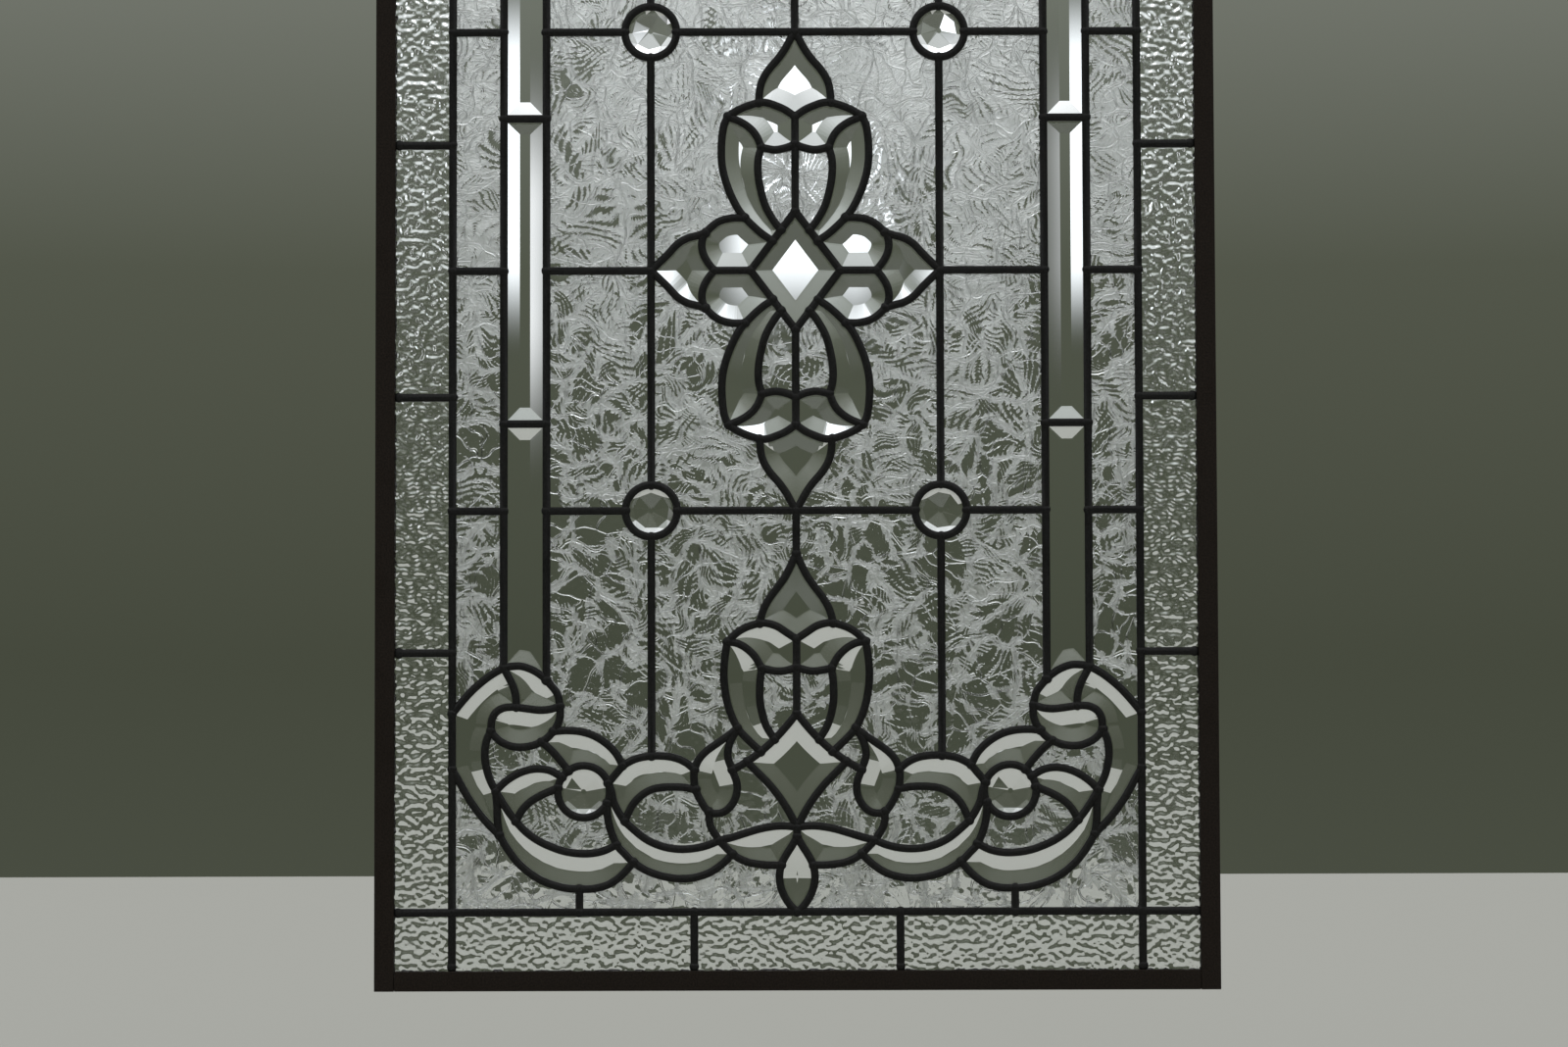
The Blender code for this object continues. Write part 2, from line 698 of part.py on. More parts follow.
# The panel's centre hangs below the origin, which is on top of the frame
centre = bpy.data.objects.new("panel_centre", None)
centre.location = (0, 0, -PANEL_HEIGHT / 2 * MM)
collection.objects.link(centre)

points, beside = came_network()
cells = cells_of(points, beside)

# Panes, strips and jewels that are nodes of their own; the rest goes to three clusters
clusters = {"bevels_top": [], "bevels_middle": [], "bevels_bottom": []}
openings = []
for cell in cells:
    corners = straightened([points[k] for k in cell])
    openings.append(inset(corners, HALF_CAME)[0])
    glass = inset(corners, GLASS_EDGE)[0]
    pane = kind_of(glass, PANES)
    strip = kind_of(glass, STRIPS)
    if pane:
        add_pane(placed_name(pane, glass), glass, "chip_glass")
    elif kind_of(glass, SIDE_CHIPS):
        add_pane(placed_name("side", glass), glass, "chip_glass")
    elif strip:
        x, z = middle_of(glass)
        name = placed_name(strip, glass)
        local = moved(glass, -x, -z)
        mesh = bevelled_mesh(name, local, SHEET_BACK, BEVEL_LOW, BEVEL_FRONT, STRIP_BEVEL)
        add_object(name, mesh, "bevel_glass", (x * MM, 0, z * MM))
    elif kind_of(glass, JEWELS):
        add_jewel(placed_name("jewel", glass), glass)
    else:
        z = middle_of(glass)[1]
        level = "middle" if abs(z) < ROW_Z else "top" if z > 0 else "bottom"
        clusters[f"bevels_{level}"].append(cell)

# The soldered network of cames
network = flat_mesh("came_network", [network_outline(), *openings], CAME_BACK, CAME_FRONT)
add_object("came_network", network, "came_metal", (0, 0, 0))
for name, group in clusters.items():
    web = inset(straightened(outline_of(group)), WEB_MARGIN)[0]
    add_object(name, cluster_mesh(name, group, web), "bevel_glass", (0, 0, 0))

add_border()
add_frame()
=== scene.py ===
import math

import bmesh
import bpy
from mathutils import Matrix, Vector, noise
from mathutils.geometry import delaunay_2d_cdt


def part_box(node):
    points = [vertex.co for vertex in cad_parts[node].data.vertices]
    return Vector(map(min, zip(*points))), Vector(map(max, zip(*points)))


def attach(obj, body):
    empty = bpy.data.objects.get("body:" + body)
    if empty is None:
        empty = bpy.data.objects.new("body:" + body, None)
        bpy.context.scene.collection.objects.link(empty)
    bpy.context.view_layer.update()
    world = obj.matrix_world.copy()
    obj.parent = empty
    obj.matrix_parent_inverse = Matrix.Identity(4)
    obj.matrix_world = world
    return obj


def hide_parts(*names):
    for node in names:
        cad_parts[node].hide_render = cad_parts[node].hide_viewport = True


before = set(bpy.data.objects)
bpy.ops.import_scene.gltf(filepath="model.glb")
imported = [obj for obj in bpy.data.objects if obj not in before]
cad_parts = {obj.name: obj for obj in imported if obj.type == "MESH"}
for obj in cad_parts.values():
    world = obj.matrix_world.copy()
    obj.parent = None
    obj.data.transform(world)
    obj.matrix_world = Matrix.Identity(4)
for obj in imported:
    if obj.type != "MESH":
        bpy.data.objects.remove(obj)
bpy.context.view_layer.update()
mm = 0.001

# the panel's own sizes, in mm; heights stand in front of the middle of the sheets
panel = {"width": 520.0, "height": 888.0, "frameFace": 12.2, "frameDepth": 9.0, "frameLap": 0.3, "edgeRoom": 3.0}
came = {"half": 2.4, "front": 3.2, "back": -1.8, "tuck": 1.0}
glass = {"back": -1.5, "sheet": 1.5, "bevelLow": 0.3, "bevelTop": 3.0}
grid = {"borderX": 212.4, "borderZ": 396.0, "stripOut": 180.7, "stripIn": 154.3, "column": 89.5, "row": 149.0,
        "stripBreak": 95.0, "under": 134.0, "sideBreaks": (78.5, 236.5), "endBreak": 63.4}
jewelRing = 16.0
scrollJewel = (131.3, -322.0)
gridJewel = (grid["column"], -grid["row"])

# came ends in the lower right quarter: x from the middle, z from the centre
borderX, borderZ, rowZ = grid["borderX"], grid["borderZ"], grid["row"]
stripOutX, stripInX, columnX = grid["stripOut"], grid["stripIn"], grid["column"]
joints = {
    "centreTip": (0, -rowZ), "centreShoulder": (22.5, -104.6), "centreFanOut": (41.7, -96),
    "centreFanMid": (0, -96), "centreFanLow": (20.9, -76.7), "centreFanBase": (0, -78.9), "tearTip": (31.2, -32.8),
    "centreLeafOut": (14, -18.3), "centreLeafIn": (8.8, -25.2), "centreDiamondTop": (0, -36.8),
    "centreDiamondSide": (27.8, 0), "tearBase": (50.3, 0), "petalShoulder": (55.7, -23.4), "petalTip": (columnX, 0),
    "endTip": (0, -175.8), "endShoulder": (22.6, -218.6), "endFanOut": (42.7, -230.2), "endFanMid": (0, -228.4),
    "endFanLow": (21.5, -246.4), "endFanBase": (0, -245.9), "endLeafOut": (22.2, -297.7),
    "endLeafIn": (13.8, -290.2), "endDiamondTop": (0, -274.3), "endDiamondSide": (30.7, -303.9),
    "endDiamondLow": (0, -344.3), "commaTip": (36.4, -283.2), "commaLink": (39.8, -309),
    "commaFoot": (54.2, -334.6), "commaUnder": (62.4, -320.8), "commaOver": (63, -308.8),
    "arcGrid": (columnX, -300.2), "arcTip": (106, -340.2), "leafEnd": (107.3, -306.2), "ringIn": (116.2, -316.8),
    "ringLow": (116.9, -329), "ringLeaf": (140.8, -309.1), "ringLowTop": (144.6, -313.1),
    "ringLowLeaf": (147.1, -319.6), "lowLeafTip": (173, -340.1), "scrollFoot": (185.5, -321.6),
    "scrollHeel": (183.2, -348.6), "scrollTop": (borderX, -274), "scrollBottom": (borderX, -308),
    "stripOutEnd": (stripOutX, -245.9), "stripInEnd": (stripInX, -253.4), "curlDivider": (172.8, -270),
    "curlEnd": (145.9, -269.4), "curlStart": (188.5, -284.4), "curlLeafTop": (150.2, -285),
    "curlLeafLow": (157.4, -291.3), "smallTop": (48, -352.2), "smallEnd": (39.8, -360.6), "dropTop": (0, -350),
    "dropSide": (9.8, -367.4), "dropLow": (0, -borderZ), "crescentJoin": (111, -354.6),
    "crescentEnd": (100.7, -365.4), "underMid": (grid["under"], -381.7), "underLow": (grid["under"], -borderZ),
    "corner": (borderX, -borderZ), "borderRow": (borderX, -rowZ), "borderMid": (borderX, 0),
    "outRow": (stripOutX, -rowZ), "outBreak": (stripOutX, -grid["stripBreak"]), "outMid": (stripOutX, 0),
    "inRow": (stripInX, -rowZ), "inBreak": (stripInX, -grid["stripBreak"]), "inMid": (stripInX, 0),
    "jewelIn": (columnX - jewelRing, -rowZ), "jewelOut": (columnX + jewelRing, -rowZ),
    "jewelTop": (columnX, -rowZ + jewelRing), "jewelLow": (columnX, -rowZ - jewelRing),
}
straightCames = (
    ("borderMid", "borderRow", "scrollTop", "scrollBottom", "corner"), ("corner", "underLow", "dropLow"),
    ("outMid", "outBreak", "outRow", "stripOutEnd"), ("inMid", "inBreak", "inRow", "stripInEnd"),
    ("outBreak", "inBreak"), ("borderMid", "outMid"), ("borderRow", "outRow"), ("petalTip", "inMid"),
    ("petalTip", "jewelTop"), ("jewelLow", "arcGrid"), ("centreTip", "jewelIn"), ("jewelOut", "inRow"),
    ("centreTip", "endTip"), ("underMid", "underLow"), ("centreFanMid", "centreFanBase", "centreDiamondTop"),
    ("centreDiamondTop", "centreLeafIn", "centreLeafOut", "centreDiamondSide"), ("centreDiamondSide", "tearBase"),
    ("endFanMid", "endFanBase", "endDiamondTop"), ("endDiamondSide", "commaLink"), ("endDiamondLow", "dropTop"),
    ("smallTop", "smallEnd"), ("leafEnd", "ringIn"),
)
curvedCames = (
    # middle ornament
    ("centreTip", (2.8, -144.2), (6.1, -138.1), (10.4, -132), (15.7, -125.9), (19.6, -119.8), (21.6, -113.7),
     "centreShoulder"),
    ("centreFanOut", (36.7, -99.3), (30.6, -102.1), "centreShoulder", (17.6, -104.6), (12.3, -102.9), (6.2, -100.2),
     "centreFanMid"),
    ("centreFanOut", (33.7, -92.6), (27.6, -88.4), (23.6, -83.3), "centreFanLow"),
    ("centreFanLow", (12.4, -75.2), (4.5, -76.8), "centreFanBase"),
    ("centreFanOut", (44.4, -89.3), (45.7, -77.1), (45.2, -64.9), (42.1, -52.7), (36.7, -40.5), "tearTip",
     (21.6, -23.6), "centreLeafOut"),
    ("centreFanLow", (22.8, -69.8), (23.1, -61.8), (21.9, -52.7), (18.6, -40.5), (13, -30.4), "centreLeafIn"),
    ("tearTip", (39.9, -32.6), (48.2, -30), "petalShoulder", (57.9, -17.6), (57.4, -11.5), (54.6, -5.6), "tearBase"),
    ("petalTip", (79.5, -9.7), (73.4, -16.2), (67.3, -20), (60.8, -21.8), "petalShoulder"),
    # end ornament
    ("endTip", (3.9, -184.2), (7.1, -190.3), (11.4, -196.3), (16, -202.4), (19.6, -208.5), (21.6, -214),
     "endShoulder"),
    ("endFanOut", (37.2, -224.8), (31.2, -221.2), "endShoulder", (17.6, -218.8), (12, -220.6), (6.4, -224.2),
     "endFanMid"),
    ("endFanOut", (37.2, -230.8), (31.2, -233.9), (25.7, -239.2), "endFanLow"),
    ("endFanLow", (13.1, -248.1), (7, -247.9), "endFanBase"),
    ("endFanOut", (44.2, -239.6), (44.9, -251), (43.7, -263), (41, -273.4), "commaTip", (30, -290.4), "endLeafOut"),
    ("endFanLow", (22.7, -256.8), (22.4, -268.9), (19.2, -281), "endLeafIn"),
    ("endDiamondTop", (6.6, -282.4), "endLeafIn", "endLeafOut", "endDiamondSide"),
    ("endDiamondSide", (24.7, -310), (17.6, -317.2), (11.4, -324.8), (5.6, -333.6), "endDiamondLow"),
    ("commaTip", (41, -291.6), (42.6, -300.3), "commaLink", (37, -317.2), (37.4, -324.6), (41, -331.4),
     (46.8, -335.3), "commaFoot", (59.4, -327.6), "commaUnder", (63.4, -314.6), "commaOver", (60.4, -302.4),
     (55.6, -297.2), (49.4, -292.8), (42, -287.6), "commaTip"),
    ("commaFoot", (53.4, -343), "smallTop"),
    ("smallTop", (40.4, -350.4), (31.4, -347.6), (22.3, -345), (13.3, -343.5), (6, -343.4), "endDiamondLow"),
    ("smallEnd", (34.4, -363.9), (28.4, -366), (19.4, -367.3), "dropSide"),
    ("dropTop", (3.2, -355.6), (6.9, -361.4), "dropSide", (10.9, -374), (10.2, -380.5), (7.6, -387), (3.8, -392.6),
     "dropLow"),
    # scroll
    ("commaOver", (67.5, -304.9), (73.5, -301.9), (80.6, -300.4), "arcGrid", (97.7, -301.5), (103, -303.6),
     "leafEnd"),
    ("commaUnder", (70, -319.5), (79.6, -319.3), (88, -320.4), (95, -323.8), (101.2, -330.2), "arcTip"),
    ("ringIn", (114.4, -321.2), (113.5, -326), (112.3, -329.8), (109.7, -334.8), "arcTip", (100.7, -345.2),
     (94.6, -350.2), (88, -353.9), (79.6, -356.6), (70.5, -357.5), (61.5, -356.7), (54.4, -354.9), "smallTop"),
    ("ringLow", (116.8, -336), (115, -345), "crescentJoin", (106.6, -359.6), "crescentEnd", (91.6, -371),
     (79.6, -374.7), (67.5, -375.4), (56, -372.8), (47, -367.4), "smallEnd"),
    ("lowLeafTip", (168.8, -344.8), (163.9, -349), (157.9, -352.8), (151.9, -355.6), (144.6, -358.2), (136.8, -359.7),
     (127.8, -360), (119.2, -358.4), "crescentJoin"),
    ("scrollHeel", (180, -354.3), (176.2, -360), (171.5, -365.8), (165.4, -371.2), (159.1, -375.4), (151.8, -378.6),
     (142.8, -381), "underMid", (124.7, -381.4), (115.7, -378.8), (108, -373.4), "crescentEnd"),
    ("scrollFoot", (184.7, -331), (184.4, -340), "scrollHeel"),
    ("scrollFoot", (181.3, -328.6), (177.2, -334.8), "lowLeafTip"),
    ("scrollFoot", (181, -316.9), (176.1, -313.2), (170.1, -310.1), (164, -308.3), (158, -307.9), (151.5, -309.2),
     "ringLowTop"),
    ("ringLowLeaf", (152, -321.7), (158, -324.4), (164, -328), (169.2, -333.2), "lowLeafTip"),
    ("curlLeafTop", (143, -284.4), (135.1, -284.8), (127.9, -286.5), (121.8, -289.4), (115.8, -293.8),
     (110.9, -299.3), "leafEnd"),
    ("curlLeafLow", (151.8, -296), (146.3, -302), "ringLeaf"),
    ("scrollTop", (206.2, -266.4), (200.4, -260), (194.4, -254.6), (188.2, -250), "stripOutEnd", (175.4, -244.8),
     (169.4, -244.8), (163, -247), (158.1, -250), "stripInEnd", (147.8, -261.4), "curlEnd"),
    ("stripOutEnd", (177.6, -251.4), (174.7, -257.4), (173.2, -263.5), "curlDivider"),
    ("curlStart", (187.8, -277.4), (185.2, -272.9), (181, -270.5), (177, -269.9), "curlDivider", (164.1, -271.2),
     (158.1, -271.8), (152, -271.3), "curlEnd"),
    ("curlEnd", (145.8, -275.5), (147.4, -280.8), "curlLeafTop", (153.4, -288.6), "curlLeafLow", (163.5, -293.7),
     (170.1, -294.6), (176.1, -293.9), (181.6, -291.6), (185.6, -288.4), "curlStart"),
    ("curlStart", (190.8, -289.4), (192, -294.8), (192.2, -301), (191.2, -307.6), (189, -314.6), "scrollFoot"),
    ("scrollBottom", (208.7, -314.4), (204.3, -322.4), (200.2, -329), (195.4, -335.6), (189.8, -342), "scrollHeel"),
)
rings = (
    (gridJewel, ("jewelTop", "jewelOut", "jewelLow", "jewelIn")),
    (scrollJewel, ("ringIn", "ringLeaf", "ringLowTop", "ringLowLeaf", "ringLow")),
)


# plane geometry, in mm
samePoints = 50  # points that round to the same fiftieth are one
leastTurn = 0.004  # radians


def key(x, z):
    return (round(x * samePoints), round(z * samePoints))


# Points of a smooth curve through the given ones
def smoothLine(points, step):
    line = [points[0]]
    for i in range(len(points) - 1):
        p1, p2 = points[i], points[i + 1]
        p0 = points[i - 1] if i else (2 * p1[0] - p2[0], 2 * p1[1] - p2[1])
        p3 = points[i + 2] if i + 2 < len(points) else (2 * p2[0] - p1[0], 2 * p2[1] - p1[1])
        count = max(1, round(math.dist(p1, p2) / step))
        for k in range(1, count + 1):
            t = k / count
            line.append(tuple(
                0.5 * (2 * b + (c - a) * t + (2 * a - 5 * b + 4 * c - d) * t * t + (3 * b - a - 3 * c + d) * t ** 3)
                for a, b, c, d in zip(p0, p1, p2, p3)))
    return line


# A circle of points that passes through the named joints
def ringLine(centre, names, step):
    angles = sorted(math.atan2(joints[n][1] - centre[1], joints[n][0] - centre[0]) for n in names)
    line = []
    for a, b in zip(angles, angles[1:] + [angles[0] + 2 * math.pi]):
        count = max(1, round((b - a) * jewelRing / step))
        line += [a + (b - a) * k / count for k in range(count)]
    exact = {round(math.atan2(joints[n][1] - centre[1], joints[n][0] - centre[0]), 6): joints[n] for n in names}
    points = [exact.get(round(a, 6)) or (centre[0] + jewelRing * math.cos(a), centre[1] + jewelRing * math.sin(a))
              for a in line]
    return points + points[:1]


def cameLines(step):
    def placed(stops):
        return [joints[stop] if isinstance(stop, str) else stop for stop in stops]

    lines = [placed(stops) for stops in straightCames]
    lines += [smoothLine(placed(stops), step) for stops in curvedCames]
    lines += [ringLine(centre, names, step) for centre, names in rings]
    return [[(x * sx, z * sz) for x, z in line] for line in lines for sx in (1, -1) for sz in (1, -1)]


# The cells between the cames as anticlockwise loops, the clockwise loop round them all, and the came joints
def networkCells(lines):
    points, beside = {}, {}
    for line in lines:
        keys = [key(*p) for p in line]
        points.update(zip(keys, line))
        for a, b in zip(keys, keys[1:]):
            if a != b:
                beside.setdefault(a, set()).add(b)
                beside.setdefault(b, set()).add(a)
    turn = {a: sorted(others, key=lambda b: math.atan2(points[b][1] - points[a][1], points[b][0] - points[a][0]))
            for a, others in beside.items()}
    cells, used = [], set()
    for a in beside:
        for b in beside[a]:
            loop, start, end = [], a, b
            while (start, end) not in used:
                used.add((start, end))
                loop.append(points[start])
                around = turn[end]
                start, end = end, around[around.index(start) - 1]
            if len(loop) > 2:
                cells.append(loop)
    meetings = [points[k] for k, others in beside.items() if len(others) > 2]
    return [c for c in cells if areaOf(c) > 0], min(cells, key=areaOf), meetings


def areaOf(loop):
    return sum(a[0] * b[1] - b[0] * a[1] for a, b in zip(loop, loop[1:] + loop[:1])) / 2


def middleOf(loop):
    area = areaOf(loop)
    pairs = list(zip(loop, loop[1:] + loop[:1]))
    return tuple(sum((a[i] + b[i]) * (a[0] * b[1] - b[0] * a[1]) for a, b in pairs) / (6 * area) for i in (0, 1))


def holds(loop, x, z):
    inside = False
    for (ax, az), (ex, ez) in zip(loop, loop[1:] + loop[:1]):
        if (az > z) != (ez > z) and x < ax + (ex - ax) * (z - az) / (ez - az):
            inside = not inside
    return inside


def sideOf(a, b, c):
    return (b[0] - a[0]) * (c[1] - a[1]) - (b[1] - a[1]) * (c[0] - a[0])


def crossing(a, b, c, d):
    return sideOf(a, b, c) * sideOf(a, b, d) < 0 and sideOf(c, d, a) * sideOf(c, d, b) < 0


def crossesItself(loop):
    edges = list(zip(loop, loop[1:] + loop[:1]))
    return any(crossing(*edges[i], *edges[j]) for i in range(len(edges)) for j in range(i + 2, len(edges)))


# The loop moved inwards, and for each of its points the index of the new point
def inset(loop, width, step=0.3):
    edges = []
    for (ax, az), (ex, ez) in zip(loop, loop[1:] + loop[:1]):
        length = math.hypot(ex - ax, ez - az)
        edges.append((ax, az, (ex - ax) / length, (ez - az) / length))

    def cornerAt(first, second, by):
        ax, az, adx, adz = edges[first]
        ex, ez, edx, edz = edges[second]
        ax, az, ex, ez = ax - adz * by, az + adx * by, ex - edz * by, ez + edx * by
        cross = adx * edz - adz * edx
        if abs(cross) < 1e-4:
            return (ex, ez) if adx * edx + adz * edz > 0 else ((ax + ex) / 2, (az + ez) / 2)
        along = ((ex - ax) * edz - (ez - az) * edx) / cross
        return (ax + adx * along, az + adz * along)

    left, by = list(range(len(loop))), 0.0
    while by < width - 1e-9:
        by = min(width, by + step)
        while len(left) > 3:
            corners = [cornerAt(left[i - 1], left[i], by) for i in range(len(left))]
            spans = []
            for i, edge in enumerate(left):
                (ax, az), (ex, ez) = corners[i], corners[(i + 1) % len(left)]
                spans.append((ex - ax) * edges[edge][2] + (ez - az) * edges[edge][3])
            if min(spans) > 0:
                break
            worst = min(range(len(spans)), key=spans.__getitem__)
            left.pop(worst)
    corners = [cornerAt(left[i - 1], left[i], by) for i in range(len(left))]
    place = []
    for point in range(len(loop)):
        after = [i for i, edge in enumerate(left) if edge >= point]
        place.append(after[0] if after else 0)
    return corners, place


def withoutStraights(loop):
    kept = []
    for before, point, after in zip(loop[-1:] + loop[:-1], loop, loop[1:] + loop[:1]):
        a, b = math.dist(before, point), math.dist(point, after)
        if a > 1e-6 and abs(sideOf(before, point, after)) > leastTurn * a * b:
            kept.append(point)
    return kept


# meshes: x across, z up, heights in front; the panel's centre hangs half its height below the origin
def at(x, z, height):
    return Vector((x * mm, -height * mm, (z - panel["height"] / 2) * mm))


# Faces between a closed row of vertices and the next row inwards or upwards
def bridge(bm, low, high, place):
    for i, vert in enumerate(low):
        after = (i + 1) % len(low)
        a, b = high[place[i]], high[place[after]]
        corners = [vert, low[after], b] if a is b else [vert, low[after], b, a]
        if len(set(corners)) > 2:
            bm.faces.new(corners)


def addPiece(name, bm, material, nodes=(), smoothAngle=None):
    bmesh.ops.recalc_face_normals(bm, faces=bm.faces)
    mesh = bpy.data.meshes.new(name)
    bm.to_mesh(mesh)
    bm.free()
    obj = bpy.data.objects.new(name, mesh)
    bpy.context.scene.collection.objects.link(obj)
    mesh.materials.append(material)
    if smoothAngle is not None:
        mesh.shade_smooth()
        mesh.set_sharp_from_angle(angle=math.radians(smoothAngle))
    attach(obj, "root")
    if nodes:
        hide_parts(*nodes)
    return obj


def row(bm, loop, height):
    return [bm.verts.new(at(x, z, height)) for x, z in loop]


# materials
refraction = {"glass": 1.52, "other": 1.5}


def newMaterial(name, colour, roughness, metallic=0.0, clear=0.0):
    material = bpy.data.materials.new(name)
    material.use_nodes = True
    shader = material.node_tree.nodes["Principled BSDF"]
    shader.inputs["Base Color"].default_value = (*colour, 1)
    shader.inputs["Roughness"].default_value = roughness
    shader.inputs["Metallic"].default_value = metallic
    shader.inputs["Transmission Weight"].default_value = clear
    shader.inputs["IOR"].default_value = refraction["glass" if clear else "other"]
    return material, material.node_tree, shader


def newGroup(name, inputs, outputs):
    group = bpy.data.node_groups.new(name, "ShaderNodeTree")
    for way, labels in (("INPUT", inputs), ("OUTPUT", outputs)):
        for label in labels:
            kind = "NodeSocketVector" if label == "Vector" else "NodeSocketFloat"
            group.interface.new_socket(label, in_out=way, socket_type=kind)
    return group, group.nodes.new("NodeGroupInput"), group.nodes.new("NodeGroupOutput")


# A node with its settings, and its inputs given by name or index: a value, or a socket to link
def node(tree, kind, inputs=None, **settings):
    made = tree.nodes.new(kind)
    for label, value in settings.items():
        setattr(made, label, value)
    for label, value in (inputs or {}).items():
        if isinstance(value, bpy.types.NodeSocket):
            tree.links.new(value, made.inputs[label])
        else:
            made.inputs[label].default_value = value
    return made


def maths(tree, operation, *values):
    return node(tree, "ShaderNodeMath", dict(enumerate(values)), operation=operation).outputs[0]


def vectorMaths(tree, operation, *values):
    return node(tree, "ShaderNodeVectorMath", dict(enumerate(values)), operation=operation).outputs[0]


def mapped(tree, value, low, high, toLow=0.0, toHigh=1.0, smooth=True):
    return node(tree, "ShaderNodeMapRange", {0: value, 1: low, 2: high, 3: toLow, 4: toHigh},
                interpolation_type="SMOOTHSTEP" if smooth else "LINEAR").outputs[0]


# sizes are parts of one fern
fern = {"turn": 6.283, "warp": 0.75, "warpScale": 1.1, "ragged": 0.3, "raggedScale": 11.0, "lean": 1.15,
        "barbs": 26.0, "barbLean": 0.1, "barbDepth": 0.22, "luck": 0.7, "opening": 0.52, "spineRoom": (0.03, 0.2),
        "edgeRoom": (0.02, 0.16), "line": (0.008, 0.025), "chipEdge": (-0.02, 0.03), "streaks": (5.0, 21.0, 1.0)}


# Frost ferns: in each cell a spine at its own lean, and between its side branches clear barbed chips
def makeFernGroup():
    group, into, out = newGroup("frostFerns", ("Vector", "Fern Size", "Branches", "Open", "Shift"),
                                ("Clear", "Ridges", "Spines"))
    flat = node(group, "ShaderNodeSeparateXYZ", {0: into.outputs["Vector"]})
    place = node(group, "ShaderNodeCombineXYZ", {0: flat.outputs[0], 1: flat.outputs[2]}).outputs[0]
    scaled = vectorMaths(group, "DIVIDE", place, into.outputs["Fern Size"])
    scaled = vectorMaths(group, "ADD", scaled, into.outputs["Shift"])
    wobble = node(group, "ShaderNodeTexNoise", {"Vector": scaled, "Scale": fern["warpScale"], "Detail": 1.0},
                  noise_dimensions="2D")
    ragged = node(group, "ShaderNodeTexNoise", {"Vector": scaled, "Scale": fern["raggedScale"], "Detail": 2.0},
                  noise_dimensions="2D")
    shift = vectorMaths(group, "SUBTRACT", wobble.outputs["Color"], (0.5, 0.5, 0.5))
    shift = node(group, "ShaderNodeVectorMath", {0: shift, "Scale": fern["warp"]}, operation="SCALE").outputs[0]
    warped = vectorMaths(group, "ADD", scaled, shift)
    cell = node(group, "ShaderNodeTexVoronoi", {"Vector": warped, "Scale": 1.0}, voronoi_dimensions="2D")
    edge = node(group, "ShaderNodeTexVoronoi", {"Vector": warped, "Scale": 1.0}, voronoi_dimensions="2D",
                feature="DISTANCE_TO_EDGE").outputs["Distance"]
    away = vectorMaths(group, "SUBTRACT", warped, cell.outputs["Position"])
    chance = node(group, "ShaderNodeSeparateColor", {0: cell.outputs["Color"]})
    angle = maths(group, "MULTIPLY", chance.outputs[0], fern["turn"])  # each fern lies its own way
    turned = node(group, "ShaderNodeVectorRotate", {"Vector": away, "Angle": angle},
                  rotation_type="Z_AXIS").outputs[0]
    across = node(group, "ShaderNodeSeparateXYZ", {0: turned})
    side = maths(group, "ABSOLUTE", across.outputs[0])
    noisy = maths(group, "MULTIPLY", maths(group, "SUBTRACT", ragged.outputs[0], 0.5), fern["ragged"])
    branch = maths(group, "SUBTRACT", across.outputs[1], maths(group, "MULTIPLY", side, fern["lean"]))
    branch = maths(group, "MULTIPLY", branch, into.outputs["Branches"])
    fromBranch = maths(group, "PINGPONG", branch, 0.5)
    barbs = maths(group, "ADD", side, maths(group, "MULTIPLY", fromBranch, fern["barbLean"]))
    barbs = maths(group, "FRACT", maths(group, "MULTIPLY", barbs, fern["barbs"]))
    barbs = maths(group, "ADD", maths(group, "MULTIPLY", barbs, fern["barbDepth"]), noisy)
    luck = maths(group, "MULTIPLY", maths(group, "SUBTRACT", chance.outputs[1], 0.5), fern["luck"])
    bare = maths(group, "ADD", into.outputs["Open"], luck)
    fromSpine = mapped(group, side, *fern["spineRoom"])
    fromEdge = mapped(group, edge, *fern["edgeRoom"])
    room = maths(group, "MULTIPLY", maths(group, "MULTIPLY", fromSpine, fromEdge), bare)
    frosted = maths(group, "SUBTRACT", 0.5, maths(group, "MULTIPLY", room, fern["opening"]))
    clear = maths(group, "SUBTRACT", maths(group, "SUBTRACT", fromBranch, barbs), frosted)
    clear = mapped(group, clear, *fern["chipEdge"])
    streaks = vectorMaths(group, "MULTIPLY", turned, fern["streaks"])
    streaks = vectorMaths(group, "ADD", streaks, cell.outputs["Color"])
    ridges = node(group, "ShaderNodeTexNoise", {"Vector": streaks, "Scale": 1.0, "Detail": 2.0},
                  noise_dimensions="2D")
    spines = maths(group, "MAXIMUM", mapped(group, side, *fern["line"], 1.0, 0.0),
                   mapped(group, edge, *fern["line"], 1.0, 0.0))
    group.links.new(clear, out.inputs["Clear"])
    group.links.new(ridges.outputs[0], out.inputs["Ridges"])
    group.links.new(spines, out.inputs["Spines"])
    return group


smudge = {"detail": 4.0, "range": (0.35, 0.7), "glassScale": 45.0, "grainScale": 900.0, "grainDetail": 3.0}


# Slow and fine variation, for what handling and cleaning leave on a smooth surface
def makeSmudgeGroup():
    group, into, out = newGroup("surfaceVariation", ("Low", "High", "Scale"), ("Value", "Grain"))
    place = node(group, "ShaderNodeTexCoord").outputs["Object"]
    slow = node(group, "ShaderNodeTexNoise",
                {"Vector": place, "Scale": into.outputs["Scale"], "Detail": smudge["detail"]})
    value = mapped(group, slow.outputs[0], *smudge["range"], into.outputs["Low"], into.outputs["High"], smooth=False)
    grain = node(group, "ShaderNodeTexNoise",
                 {"Vector": place, "Scale": smudge["grainScale"], "Detail": smudge["grainDetail"]})
    group.links.new(value, out.inputs["Value"])
    group.links.new(grain.outputs[0], out.inputs["Grain"])
    return group


fernGroup = makeFernGroup()
smudgeGroup = makeSmudgeGroup()


def useGroup(tree, group, values):
    return node(tree, "ShaderNodeGroup", values, node_tree=group)


